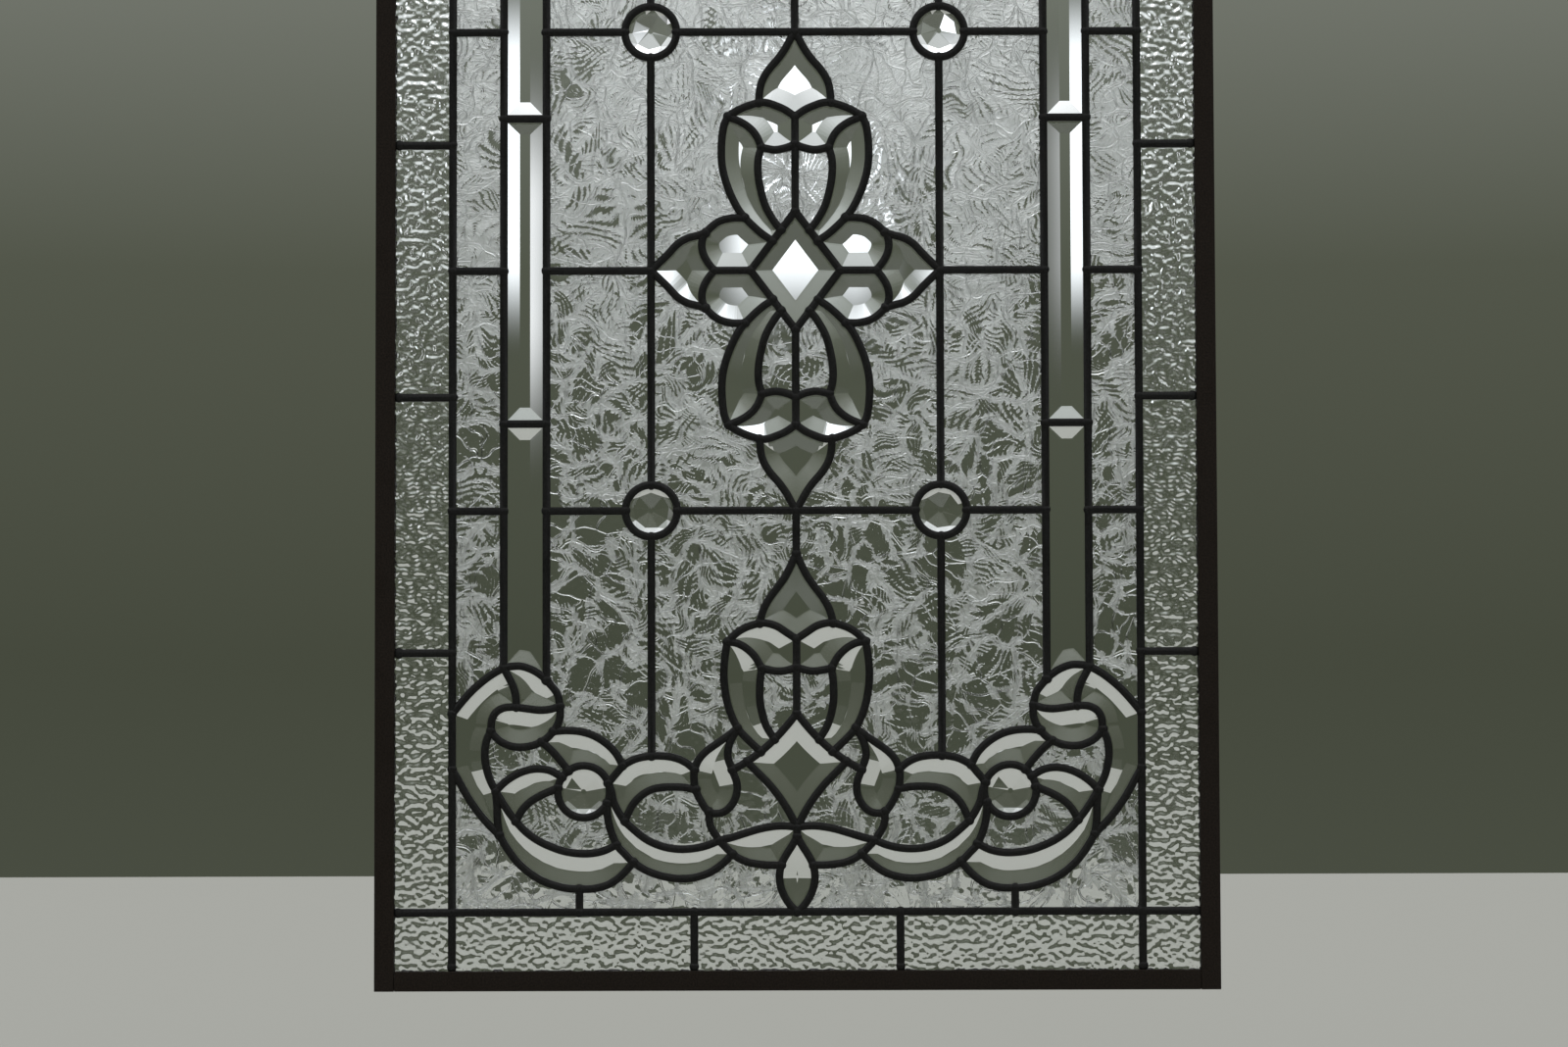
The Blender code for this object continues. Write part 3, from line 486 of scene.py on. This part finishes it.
metal = {"gloss": 0.2, "smoother": 0.1, "rougher": 0.15, "scale": 60.0, "tone": (0.35, 0.75), "bump": 0.35}


def makeMetal(name, colour, worn, roughness, metallic, grainDepth):
    material, tree, shader = newMaterial(name, colour, roughness, metallic)
    shader.inputs["Specular IOR Level"].default_value = metal["gloss"]
    vary = useGroup(tree, smudgeGroup, {"Low": roughness - metal["smoother"], "High": roughness + metal["rougher"],
                                        "Scale": metal["scale"]})
    tree.links.new(vary.outputs["Value"], shader.inputs["Roughness"])
    tone = mapped(tree, vary.outputs["Grain"], *metal["tone"], smooth=False)
    mix = node(tree, "ShaderNodeMix", {0: tone, 6: (*colour, 1), 7: (*worn, 1)}, data_type="RGBA")
    tree.links.new(mix.outputs[2], shader.inputs["Base Color"])
    bump = node(tree, "ShaderNodeBump", {"Height": vary.outputs["Grain"], "Strength": metal["bump"],
                                         "Distance": grainDepth})
    tree.links.new(bump.outputs[0], shader.inputs["Normal"])
    return material


def makeClearGlass(name, colour, high):
    material, tree, shader = newMaterial(name, colour, 0.0, 0.0, 1.0)
    vary = useGroup(tree, smudgeGroup, {"Low": 0.0, "High": high, "Scale": smudge["glassScale"]})
    tree.links.new(vary.outputs["Value"], shader.inputs["Roughness"])
    return material


# Glue-chip glass: an evenly frosted face with clear barbed chips, wider open towards the panel's foot
def makeChipGlass(name, settings):
    material, tree, shader = newMaterial(name, settings["colour"], settings["frostRough"][1], 0.0, 1.0)
    place = node(tree, "ShaderNodeTexCoord").outputs["Object"]
    height = node(tree, "ShaderNodeSeparateXYZ", {0: place}).outputs[2]
    drift = node(tree, "ShaderNodeTexNoise", {"Vector": place, "Scale": settings["driftScale"], "Detail": 1.0})
    opened = mapped(tree, height, *settings["openFrom"], settings["openLow"], settings["openHigh"], smooth=False)
    drifted = maths(tree, "MULTIPLY", maths(tree, "SUBTRACT", drift.outputs[0], 0.5), settings["drift"])
    opened = maths(tree, "ADD", opened, drifted)
    leaves = [useGroup(tree, fernGroup, {"Vector": place, "Fern Size": size, "Branches": branches, "Open": opened,
                                         "Shift": shift})
              for size, branches, shift in settings["ferns"]]
    clear = maths(tree, "MAXIMUM", leaves[0].outputs["Clear"], leaves[1].outputs["Clear"])
    streaked = mapped(tree, leaves[1].outputs["Ridges"], *settings["streaks"], *settings["frostRough"])
    frost = maths(tree, "SUBTRACT", 1.0, clear)
    rough = maths(tree, "MAXIMUM", maths(tree, "MULTIPLY", streaked, frost), settings["clearRough"])
    tree.links.new(rough, shader.inputs["Roughness"])
    fineRidges = maths(tree, "MULTIPLY", leaves[1].outputs["Ridges"], settings["fineRidges"])
    ridges = maths(tree, "ADD", leaves[0].outputs["Ridges"], fineRidges)
    spines = maths(tree, "MAXIMUM", leaves[0].outputs["Spines"], leaves[1].outputs["Spines"])
    spines = maths(tree, "MULTIPLY", spines, settings["spineRise"])
    height = maths(tree, "ADD", maths(tree, "MULTIPLY", ridges, frost), spines)
    height = maths(tree, "ADD", height, maths(tree, "MULTIPLY", frost, settings["frostRise"]))
    bump = node(tree, "ShaderNodeBump", {"Height": height, "Strength": 1.0, "Distance": settings["depth"]})
    tree.links.new(bump.outputs[0], shader.inputs["Normal"])
    return material


chipLook = {"colour": (0.93, 0.96, 0.95), "drift": 1.2, "driftScale": 11.0, "openFrom": (-0.34, -0.60),
            "openLow": 0.36, "openHigh": 1.1, "ferns": ((0.036, 5.0, 0.0), (0.021, 5.0, 3.7)), "clearRough": 0.03,
            "frostRough": (0.33, 0.46), "streaks": (0.3, 0.65), "fineRidges": 0.6, "spineRise": 0.8, "frostRise": 0.5,
            "depth": 0.0006}
cameLook = makeMetal("blackPatina", (0.010, 0.010, 0.010), (0.022, 0.022, 0.021),
                     roughness=0.4, metallic=0.5, grainDepth=0.0002)
frameLook = makeMetal("brownPatina", (0.012, 0.009, 0.007), (0.026, 0.019, 0.014),
                      roughness=0.5, metallic=0.5, grainDepth=0.0002)
bevelLook = makeClearGlass("polishedBevel", (0.95, 0.975, 0.965), high=0.02)
jewelLook = makeClearGlass("cutJewel", (0.96, 0.98, 0.975), high=0.01)
borderLook = makeClearGlass("pebbledBorder", (0.93, 0.96, 0.945), high=0.18)
chipGlassLook = makeChipGlass("glueChip", chipLook)
print("materials made")

# the pattern
curveStep = 1.8
cells, outerLoop, meetings = networkCells(cameLines(curveStep))
print("cells between the cames:", len(cells))


# cames: rounded front and back faces that meet at every joint
cameShape = {"front": ((0.0, 0.0), (0.9, 0.12), (1.7, 0.5), (2.4, 1.25)), "backFlat": 1.9, "backDrop": 0.5}


def buildCames():
    bm = bmesh.new()
    for loop in (*cells, outerLoop):
        rows = []
        for width, drop in cameShape["front"]:
            corners, place = inset(loop, width) if width else (loop, list(range(len(loop))))
            rows.append((row(bm, corners, came["front"] - drop), place))
        for (outer, outerPlace), (inner, innerPlace) in zip(rows, rows[1:]):
            addBand(bm, outer, outerPlace, inner, innerPlace)
        inner, innerPlace = rows[-1]
        opening = inset(loop, came["half"])[0]
        low = row(bm, opening, came["back"] + cameShape["backDrop"])
        for i in range(len(inner)):
            after = (i + 1) % len(inner)
            bm.faces.new((inner[i], inner[after], low[after], low[i]))
        flat, flatPlace = inset(loop, cameShape["backFlat"])
        back = row(bm, flat, came["back"])
        addBand(bm, low, innerPlace, back, flatPlace)
        edge = row(bm, loop, came["back"])
        addBand(bm, back, flatPlace, edge, list(range(len(loop))))
    bmesh.ops.remove_doubles(bm, verts=bm.verts, dist=2e-6)
    addStubs(bm)
    return bm


# Faces between two rows that both come from the same loop
def addBand(bm, first, firstPlace, second, secondPlace):
    count = len(firstPlace)
    for i in range(count):
        after = (i + 1) % count
        corners = [first[firstPlace[i]], first[firstPlace[after]], second[secondPlace[after]], second[secondPlace[i]]]
        kept = [c for n, c in enumerate(corners) if c not in corners[:n]]
        if len(kept) > 2:
            bm.faces.new(kept)


# The short cames from the pattern to the frame
def addStubs(bm):
    half, low, flat = came["half"], came["back"] + cameShape["backDrop"], cameShape["backFlat"]
    crown = [(width, came["front"] - drop) for width, drop in cameShape["front"]]
    profile = [(-half, low), *((-u, h) for u, h in crown[:0:-1]), *crown, (half, low), (flat, came["back"]),
               (-flat, came["back"])]
    innerX = panel["width"] / 2 - panel["frameFace"] - panel["frameLap"]
    innerZ = panel["height"] / 2 - panel["frameFace"] - panel["frameLap"]

    def bar(start, end):
        dx, dz = end[0] - start[0], end[1] - start[1]
        length = math.hypot(dx, dz)
        nx, nz = -dz / length, dx / length
        ends = [[bm.verts.new(at(p[0] + nx * u, p[1] + nz * u, h)) for u, h in profile] for p in (start, end)]
        for i in range(len(profile)):
            after = (i + 1) % len(profile)
            bm.faces.new((ends[0][i], ends[0][after], ends[1][after], ends[1][i]))
        bm.faces.new(ends[0])
        bm.faces.new(ends[1][::-1])

    for side in (1, -1):
        for z in (*grid["sideBreaks"], *(-b for b in grid["sideBreaks"])):
            bar((side * borderX, z), (side * innerX, z))
        for end in (1, -1):
            bar((side * borderX, end * borderZ), (side * innerX, end * borderZ))
            bar((side * borderX, end * borderZ), (side * borderX, end * innerZ))
            bar((side * grid["endBreak"], end * borderZ), (side * grid["endBreak"], end * innerZ))


cames = addPiece("cameNetwork", buildCames(), cameLook, ["came_network"], smoothAngle=40)
print("cames made:", len(cames.data.polygons), "faces")

# solder on the joints: low domes a little wider than a came
solder = {"radius": 3.1, "rise": 0.35, "edgeDrop": 0.9, "sides": 14, "rings": 3, "corner": 1.1,
          "sizeChange": 0.12, "edgeChange": 0.09, "sizeSeed": 3.0, "edgeSeed": 7.0}


def buildSolder():
    bm = bmesh.new()
    innerX = panel["width"] / 2 - panel["frameFace"] - came["half"]
    innerZ = panel["height"] / 2 - panel["frameFace"] - came["half"]
    spots = [(p, 1.0) for p in meetings]
    for side in (1, -1):
        for z in (*grid["sideBreaks"], *(-b for b in grid["sideBreaks"])):
            spots += [((side * borderX, z), 1.0), ((side * innerX, z), 1.0)]
        for end in (1, -1):
            spots += [((side * borderX, end * borderZ), solder["corner"]), ((side * innerX, end * borderZ), 1.0),
                      ((side * borderX, end * innerZ), 1.0)]
            spots += [((side * grid["endBreak"], end * borderZ), 1.0), ((side * grid["endBreak"], end * innerZ), 1.0)]
    for (x, z), size in spots:
        grow = size * (1.0 + solder["sizeChange"] * noise.noise(Vector((x, z, solder["sizeSeed"]))))
        top = bm.verts.new(at(x, z, came["front"] + solder["rise"]))
        last = None
        for ring in range(1, solder["rings"] + 1):
            t = ring / solder["rings"]
            high = came["front"] + solder["rise"] * (1 - t * t) - solder["edgeDrop"] * t ** 4
            verts = []
            for k in range(solder["sides"]):
                a = 2 * math.pi * k / solder["sides"]
                around = Vector((x + math.cos(a), z + math.sin(a), solder["edgeSeed"]))
                wave = 1 + solder["edgeChange"] * noise.noise(around)
                r = solder["radius"] * grow * wave * t
                verts.append(bm.verts.new(at(x + r * math.cos(a), z + r * math.sin(a), high)))
            for k in range(solder["sides"]):
                after = (k + 1) % solder["sides"]
                bm.faces.new((top, verts[k], verts[after]) if last is None else
                             (last[k], verts[k], verts[after], last[after]))
            last = verts
        bm.faces.new(last[::-1])
    return bm


addPiece("solderJoints", buildSolder(), cameLook, smoothAngle=60)
print("solder made")

# which glass each cell holds
panes = {"pane_inner": (74, -70), "pane_outer": (120, -70), "pane_inner_end": (66, -200),
         "pane_outer_end": (120, -200)}
strips = {"strip_middle": (167, -1), "strip_end": (167, -170)}
sideChips = {"side": (196, -75), "sideEnd": (196, -200)}
smallChips = ((8, -55), (8, -262), (170, -303), (150, -342), (80, -340), (34.2, -298), (25, -330), (190, -380),
              (60, -386))


def kindOf(loop, seeds):
    for name, (x, z) in seeds.items():
        if any(holds(loop, x * sx, z * sz) for sx in (1, -1) for sz in (1, -1)):
            return name
    return None


def placedName(kind, loop):
    x, z = middleOf(loop)
    level = "" if abs(z) < 1 else "_upper" if z > 0 else "_lower"
    return f"{kind}{level}_{'right' if x > 0 else 'left'}"


# bevels: a flat back, an upright edge and slanted faces up to a flat or a ridge
bevel = {"wide": 8.6, "narrow": 9.4, "ring": 0.9, "step": 0.15, "leastArea": 1.0}


def addBevel(bm, outline, width):
    back = row(bm, outline, glass["back"])
    bm.faces.new(back[::-1])
    low = row(bm, outline, glass["bevelLow"])
    for i in range(len(back)):
        after = (i + 1) % len(back)
        bm.faces.new((back[i], back[after], low[after], low[i]))
    loop, verts, done = outline, low, 0.0
    rise = (glass["bevelTop"] - glass["bevelLow"]) / width
    while done < width - 1e-6:
        by = min(bevel["ring"], width - done)
        following, place = inset(loop, by, bevel["step"])
        shrunk = areaOf(following)
        if shrunk < bevel["leastArea"] or shrunk > areaOf(loop) or crossesItself(following) \
                or not all(holds(loop, *p) for p in following):
            break
        done += by
        above = row(bm, following, glass["bevelLow"] + rise * done)
        bridge(bm, verts, above, place)
        loop, verts = following, above
    bm.faces.new(verts)


# round jewels: a small table, kite facets and a faceted rim
jewel = {"facets": 9, "table": 1.7, "middle": 11.2, "rim": 14.6, "low": 0.6, "mid": 2.5, "top": 4.05, "uneven": 0.45}


def addJewel(bm, x, z, lean):
    count = jewel["facets"]

    def ring(radius, heights, number):
        angles = [2 * math.pi * k / number + lean for k in range(number)]
        return [bm.verts.new(at(x + radius * math.cos(a), z + radius * math.sin(a), heights[k % len(heights)]))
                for k, a in enumerate(angles)]

    table = ring(jewel["table"], [jewel["top"]], count)
    middle = ring(jewel["middle"], [jewel["mid"] + jewel["uneven"] * (k % 2) for k in range(count)], count)
    rim = ring(jewel["rim"], [jewel["low"]], count * 2)
    base = ring(jewel["rim"], [glass["back"]], count * 2)
    bm.faces.new(table)
    for k in range(count):
        after = (k + 1) % count
        bm.faces.new((table[k], middle[k], middle[after]))
        bm.faces.new((table[k], middle[after], table[after]))
        bm.faces.new((middle[k], rim[2 * k], rim[2 * k + 1]))
        bm.faces.new((middle[k], rim[2 * k + 1], middle[after]))
        bm.faces.new((middle[after], rim[2 * k + 1], rim[(2 * k + 2) % (2 * count)]))
    for k in range(2 * count):
        after = (k + 1) % (2 * count)
        bm.faces.new((rim[k], base[k], base[after], rim[after]))
    bm.faces.new(base[::-1])


# sheets with a relief in their front face
relief = {"chipStep": 1.6, "borderStep": 1.15,
          "chipDepth": 0.28, "borderDepth": 0.85, "shell": (17, 21), "pebble": (3.5, 2.8), "rowGap": 0.87,
          "edgeStep": 1.5, "edgeRoom": 0.6}
shells = {"start": (3, 5, 0.4), "bendScale": 1.7, "bend": (0.6, 0.4), "reach": 1.1, "scoop": 1.5, "sink": 0.6,
          "rough": 0.35, "roughScale": 6}
pebbles = {"fine": 0.55, "fineScale": 2.1, "fineStart": (4, 7, 1), "contrast": 1.5, "most": 0.6, "sink": 0.3}


# Shells scooped out of the face, with ridges where they meet
def chipHeight(x, z):
    startX, startZ, level = shells["start"]
    place = Vector((x / relief["shell"][0] + startX, z / relief["shell"][1] + startZ, level))
    bend = noise.noise(place * shells["bendScale"])
    near = noise.voronoi(place + Vector((bend * shells["bend"][0], bend * shells["bend"][1], 0)))[0]
    scoop = min(1.0, near[0] * shells["reach"]) ** shells["scoop"]
    rough = shells["rough"] * noise.noise(place * shells["roughScale"])
    return relief["chipDepth"] * (scoop - shells["sink"] + rough)


# Small bumps, wider than they are high
def pebbleHeight(x, z):
    place = Vector((x / relief["pebble"][0], z / relief["pebble"][1], 0.0))
    fine = noise.noise(place * pebbles["fineScale"] + Vector(pebbles["fineStart"]))
    rough = (noise.noise(place) + pebbles["fine"] * fine) * pebbles["contrast"]
    return relief["borderDepth"] * (max(-pebbles["most"], min(pebbles["most"], rough)) - pebbles["sink"])


# A sheet of glass: flat back, upright edge and a front of fine triangles
def addSheet(bm, outline, step, heightAt):
    fine = []
    for a, b in zip(outline, outline[1:] + outline[:1]):
        count = max(1, round(math.dist(a, b) / (step * relief["edgeStep"])))
        fine += [(a[0] + (b[0] - a[0]) * k / count, a[1] + (b[1] - a[1]) * k / count) for k in range(count)]
    lowX = min(p[0] for p in fine)
    lowZ, highZ = min(p[1] for p in fine), max(p[1] for p in fine)
    inner = inset(withoutStraights(outline), step * relief["edgeRoom"])[0]
    inside = []
    rows = int((highZ - lowZ) / (step * relief["rowGap"]))
    for j in range(1, rows):
        z = lowZ + j * step * relief["rowGap"]
        cuts = sorted(a[0] + (b[0] - a[0]) * (z - a[1]) / (b[1] - a[1])
                      for a, b in zip(inner, inner[1:] + inner[:1]) if (a[1] > z) != (b[1] > z))
        for left, right in zip(cuts[::2], cuts[1::2]):
            x = lowX + step * (math.ceil((left - lowX) / step) + (0.5 if j % 2 else 0.0))
            while x < right:
                inside.append((x, z))
                x += step
    count = len(fine)
    flatPoints = [Vector(p) for p in fine + inside]
    edges = [(i, (i + 1) % count) for i in range(count)]
    made = delaunay_2d_cdt(flatPoints, edges, [list(range(count))], 1, 1e-5)
    front = []
    for i, p in enumerate(made[0]):
        onEdge = any(k < count for k in made[3][i])
        front.append(bm.verts.new(at(p.x, p.y, glass["sheet"] + (0.0 if onEdge else heightAt(p.x, p.y)))))
    for face in made[2]:
        bm.faces.new([front[i] for i in face])
    rim = [None] * count
    for i, origins in enumerate(made[3]):
        for k in origins:
            if k < count:
                rim[k] = front[i]
    back = row(bm, fine, glass["back"])
    for i in range(count):
        after = (i + 1) % count
        bm.faces.new((rim[i], rim[after], back[after], back[i]))
    bm.faces.new(back)


# place the glass
levels = ("top", "middle", "bottom")
ornaments = {kind: {level: bmesh.new() for level in levels} for kind in ("bevels", "chips", "jewels")}
underCame = came["half"] - came["tuck"]
jewelLean = {"all": 11, "right": 7, "upper": 13, "scroll": 90}  # degrees
for cell in cells:
    outline = inset(withoutStraights(cell), underCame)[0]
    x, z = middleOf(outline)
    level = "middle" if abs(z) < rowZ else "top" if z > 0 else "bottom"
    pane, strip, chip = kindOf(outline, panes), kindOf(outline, strips), kindOf(outline, sideChips)
    if pane or chip == "side":
        bm = bmesh.new()
        addSheet(bm, outline, relief["chipStep"], chipHeight)
        name = placedName(pane or "side", outline)
        addPiece(name + ".glass", bm, chipGlassLook, [name], smoothAngle=50)
    elif chip or any(kindOf(outline, {"chip": seed}) for seed in smallChips):
        addSheet(ornaments["chips"][level], outline, relief["chipStep"], chipHeight)
    elif strip:
        bm = bmesh.new()
        addBevel(bm, outline, bevel["wide"])
        name = placedName(strip, outline)
        addPiece(name + ".glass", bm, bevelLook, [name])
    elif kindOf(outline, {"jewel": gridJewel}):
        bm = bmesh.new()
        lean = jewelLean["all"] + jewelLean["right"] * (x > 0) + jewelLean["upper"] * (z > 0)
        addJewel(bm, round(x, 1), round(z, 1), math.radians(lean))
        name = placedName("jewel", outline)
        addPiece(name + ".glass", bm, jewelLook, [name])
    elif kindOf(outline, {"jewel": scrollJewel}):
        addJewel(ornaments["jewels"][level], x, z, math.radians(jewelLean["scroll"]))
    else:
        addBevel(ornaments["bevels"][level], outline, bevel["narrow"])
print("glass in the cells made")

ornamentLooks = {"bevels": (bevelLook, "bevel_glass"), "chips": (chipGlassLook, "chip_glass"),
                 "jewels": (jewelLook, "jewel_glass")}
for level in levels:
    for kind, (look, slotName) in ornamentLooks.items():
        bm = ornaments[kind][level]
        if bm.verts:
            angle = 50 if kind == "chips" else None
            addPiece(f"{kind}_{level}.glass", bm, look, [f"bevels_{level}"], smoothAngle=angle)
        else:
            bm.free()


# The pebbled panes round the pattern, each over its own solid
def addBorder():
    for name in sorted(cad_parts):
        if not name.startswith("border_"):
            continue
        low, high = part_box(name)
        mostX, mostZ = panel["width"] / 2 - panel["edgeRoom"], panel["height"] / 2 - panel["edgeRoom"]
        middleZ = panel["height"] / 2
        left, right = max(low.x / mm - came["tuck"], -mostX), min(high.x / mm + came["tuck"], mostX)
        bottom = max(low.z / mm + middleZ - came["tuck"], -mostZ)
        top = min(high.z / mm + middleZ + came["tuck"], mostZ)
        bm = bmesh.new()
        addSheet(bm, [(left, bottom), (right, bottom), (right, top), (left, top)], relief["borderStep"], pebbleHeight)
        addPiece(name + ".glass", bm, borderLook, [name], smoothAngle=60)


addBorder()
print("border made")

# frame: channels with rolled edges
channel = {"wall": 1.3, "web": 1.8, "roll": 0.9, "lip": 0.35, "arc": (0, 0.4, 0.8, 1.2, math.pi / 2)}


# A channel from start to end, open towards the panel's middle
def addChannel(name, start, end, inward):
    face, half, wall = panel["frameFace"], panel["frameDepth"] / 2, panel["frameDepth"] / 2 - channel["wall"]
    roll, lip = channel["roll"], channel["lip"]
    arc = [(roll * (1 - math.cos(a)), roll * (1 - math.sin(a))) for a in channel["arc"]]
    outline = [(u, half - v) for u, v in arc]
    outline += [(face - lip, half), (face, half - lip), (face, wall), (channel["web"], wall)]
    outline += [(u, -h) for u, h in outline[::-1]]
    bm = bmesh.new()
    ends = []
    for x, z in (start, end):
        ends.append([bm.verts.new(at(x + inward[0] * u, z + inward[1] * u, h)) for u, h in outline])
    for i in range(len(outline)):
        after = (i + 1) % len(outline)
        bm.faces.new((ends[0][i], ends[0][after], ends[1][after], ends[1][i]))
    bm.faces.new(ends[0][::-1])
    bm.faces.new(ends[1])
    addPiece(name + ".channel", bm, frameLook, [name], smoothAngle=35)


halfW, halfH = panel["width"] / 2, panel["height"] / 2
across = halfW - panel["frameFace"] - panel["frameLap"]
addChannel("frame_left", (-halfW, -halfH), (-halfW, halfH), (1, 0))
addChannel("frame_right", (halfW, -halfH), (halfW, halfH), (-1, 0))
addChannel("frame_bottom", (-across, -halfH), (across, -halfH), (0, 1))
addChannel("frame_top", (-across, halfH), (across, halfH), (0, -1))
print("frame made")

# floor, backdrop and light
stageLook = {"floor": (0.37, 0.37, 0.335), "floorDrop": 0.32, "floorStart": -10, "floorEnd": 8.6, "floorHalf": 30,
             "sky": 1.12, "skyFrom": -0.3}


# A plain plane; one that glows has soft edges and only shows through the glass
def stagePlane(name, corners, colour, glow=None):
    mesh = bpy.data.meshes.new(name)
    mesh.from_pydata(corners, [], [tuple(range(len(corners)))])
    obj = bpy.data.objects.new(name, mesh)
    bpy.context.scene.collection.objects.link(obj)
    material, tree, shader = newMaterial(name, colour, roughness=0.9)
    if glow:
        tint, strength, softness = glow
        shader.inputs["Emission Color"].default_value = (*tint, 1)
        place = node(tree, "ShaderNodeSeparateXYZ", {0: node(tree, "ShaderNodeTexCoord").outputs["Generated"]})
        fades = []
        for axis in (0, 2):
            inwards = maths(tree, "PINGPONG", place.outputs[axis], 0.5)
            fades.append(mapped(tree, inwards, 0.0, softness))
        fade = maths(tree, "MULTIPLY", *fades)
        tree.links.new(maths(tree, "MULTIPLY", fade, strength), shader.inputs["Emission Strength"])
        tree.links.new(fade, shader.inputs["Alpha"])
    mesh.materials.append(material)
    obj.visible_camera = not glow


floorZ = -panel["height"] * mm - stageLook["floorDrop"]
near, far, wide = stageLook["floorStart"], stageLook["floorEnd"], stageLook["floorHalf"]
stagePlane("floor", [(-wide, near, floorZ), (wide, near, floorZ), (wide, far, floorZ), (-wide, far, floorZ)],
           stageLook["floor"])
cool, plain = (0.93, 0.96, 1.0), (0.97, 0.98, 1.0)
softBoxes = (
    # centre, half width, half height, tint, strength, softness
    ((0.02, 2.4, -0.02), 0.15, 0.27, cool, 1.6, 0.3),
    ((0.0, 2.6, 0.82), 0.70, 0.46, plain, 2.2, 0.3),
    ((-0.80, 2.6, -0.12), 0.10, 0.34, plain, 1.0, 0.4),
    ((0.86, 2.6, -0.05), 0.13, 0.30, plain, 0.8, 0.4),
)
for number, ((x, y, z), halfWide, halfHigh, tint, strength, softness) in enumerate(softBoxes, 1):
    stagePlane(f"softBox{number}", [(x - halfWide, y, z - halfHigh), (x + halfWide, y, z - halfHigh),
                                    (x + halfWide, y, z + halfHigh), (x - halfWide, y, z + halfHigh)],
               (0, 0, 0), (tint, strength, softness))

world = bpy.data.worlds.new("studio")
bpy.context.scene.world = world
world.use_nodes = True
tree = world.node_tree
direction = node(tree, "ShaderNodeSeparateXYZ", {0: node(tree, "ShaderNodeTexCoord").outputs["Generated"]})
skyHeight = mapped(tree, direction.outputs[2], stageLook["skyFrom"], 1.0, smooth=False)
ramp = node(tree, "ShaderNodeValToRGB", {0: skyHeight})
skyStops = ((0.0, (0.08, 0.09, 0.07)), (0.24, (0.054, 0.060, 0.042)), (0.32, (0.076, 0.083, 0.061)),
            (0.375, (0.145, 0.155, 0.13)), (0.40, (0.30, 0.32, 0.30)), (0.44, (0.58, 0.60, 0.60)),
            (0.52, (0.86, 0.88, 0.90)), (1.0, (1.0, 1.0, 1.0)))
ramp.color_ramp.elements[0].position, ramp.color_ramp.elements[0].color = skyStops[0][0], (*skyStops[0][1], 1)
ramp.color_ramp.elements[1].position, ramp.color_ramp.elements[1].color = skyStops[-1][0], (*skyStops[-1][1], 1)
for position, colour in skyStops[1:-1]:
    ramp.color_ramp.elements.new(position).color = (*colour, 1)
tree.links.new(ramp.outputs[0], tree.nodes["Background"].inputs["Color"])
tree.nodes["Background"].inputs["Strength"].default_value = stageLook["sky"]

# camera
view = {"lens": 85.4, "distance": 2.3, "pitch": 2.8, "aimX": -0.0075, "aimZ": -0.601, "roll": -0.17,
        "sensor": 36.0, "far": 200.0}
camera = bpy.data.objects.new("camera", bpy.data.cameras.new("camera"))
bpy.context.scene.collection.objects.link(camera)
camera.data.lens = view["lens"]
camera.data.sensor_width = view["sensor"]
camera.data.clip_end = view["far"]
pitch = math.radians(view["pitch"])
camera.location = (view["aimX"], -view["distance"] * math.cos(pitch),
                   view["aimZ"] - view["distance"] * math.sin(pitch))
look = Matrix.Rotation(math.pi / 2 + pitch, 4, "X") @ Matrix.Rotation(math.radians(view["roll"]), 4, "Z")
camera.rotation_euler = look.to_euler()
bpy.context.scene.camera = camera
bpy.context.scene.view_settings.view_transform = "Standard"
print("camera and light set")
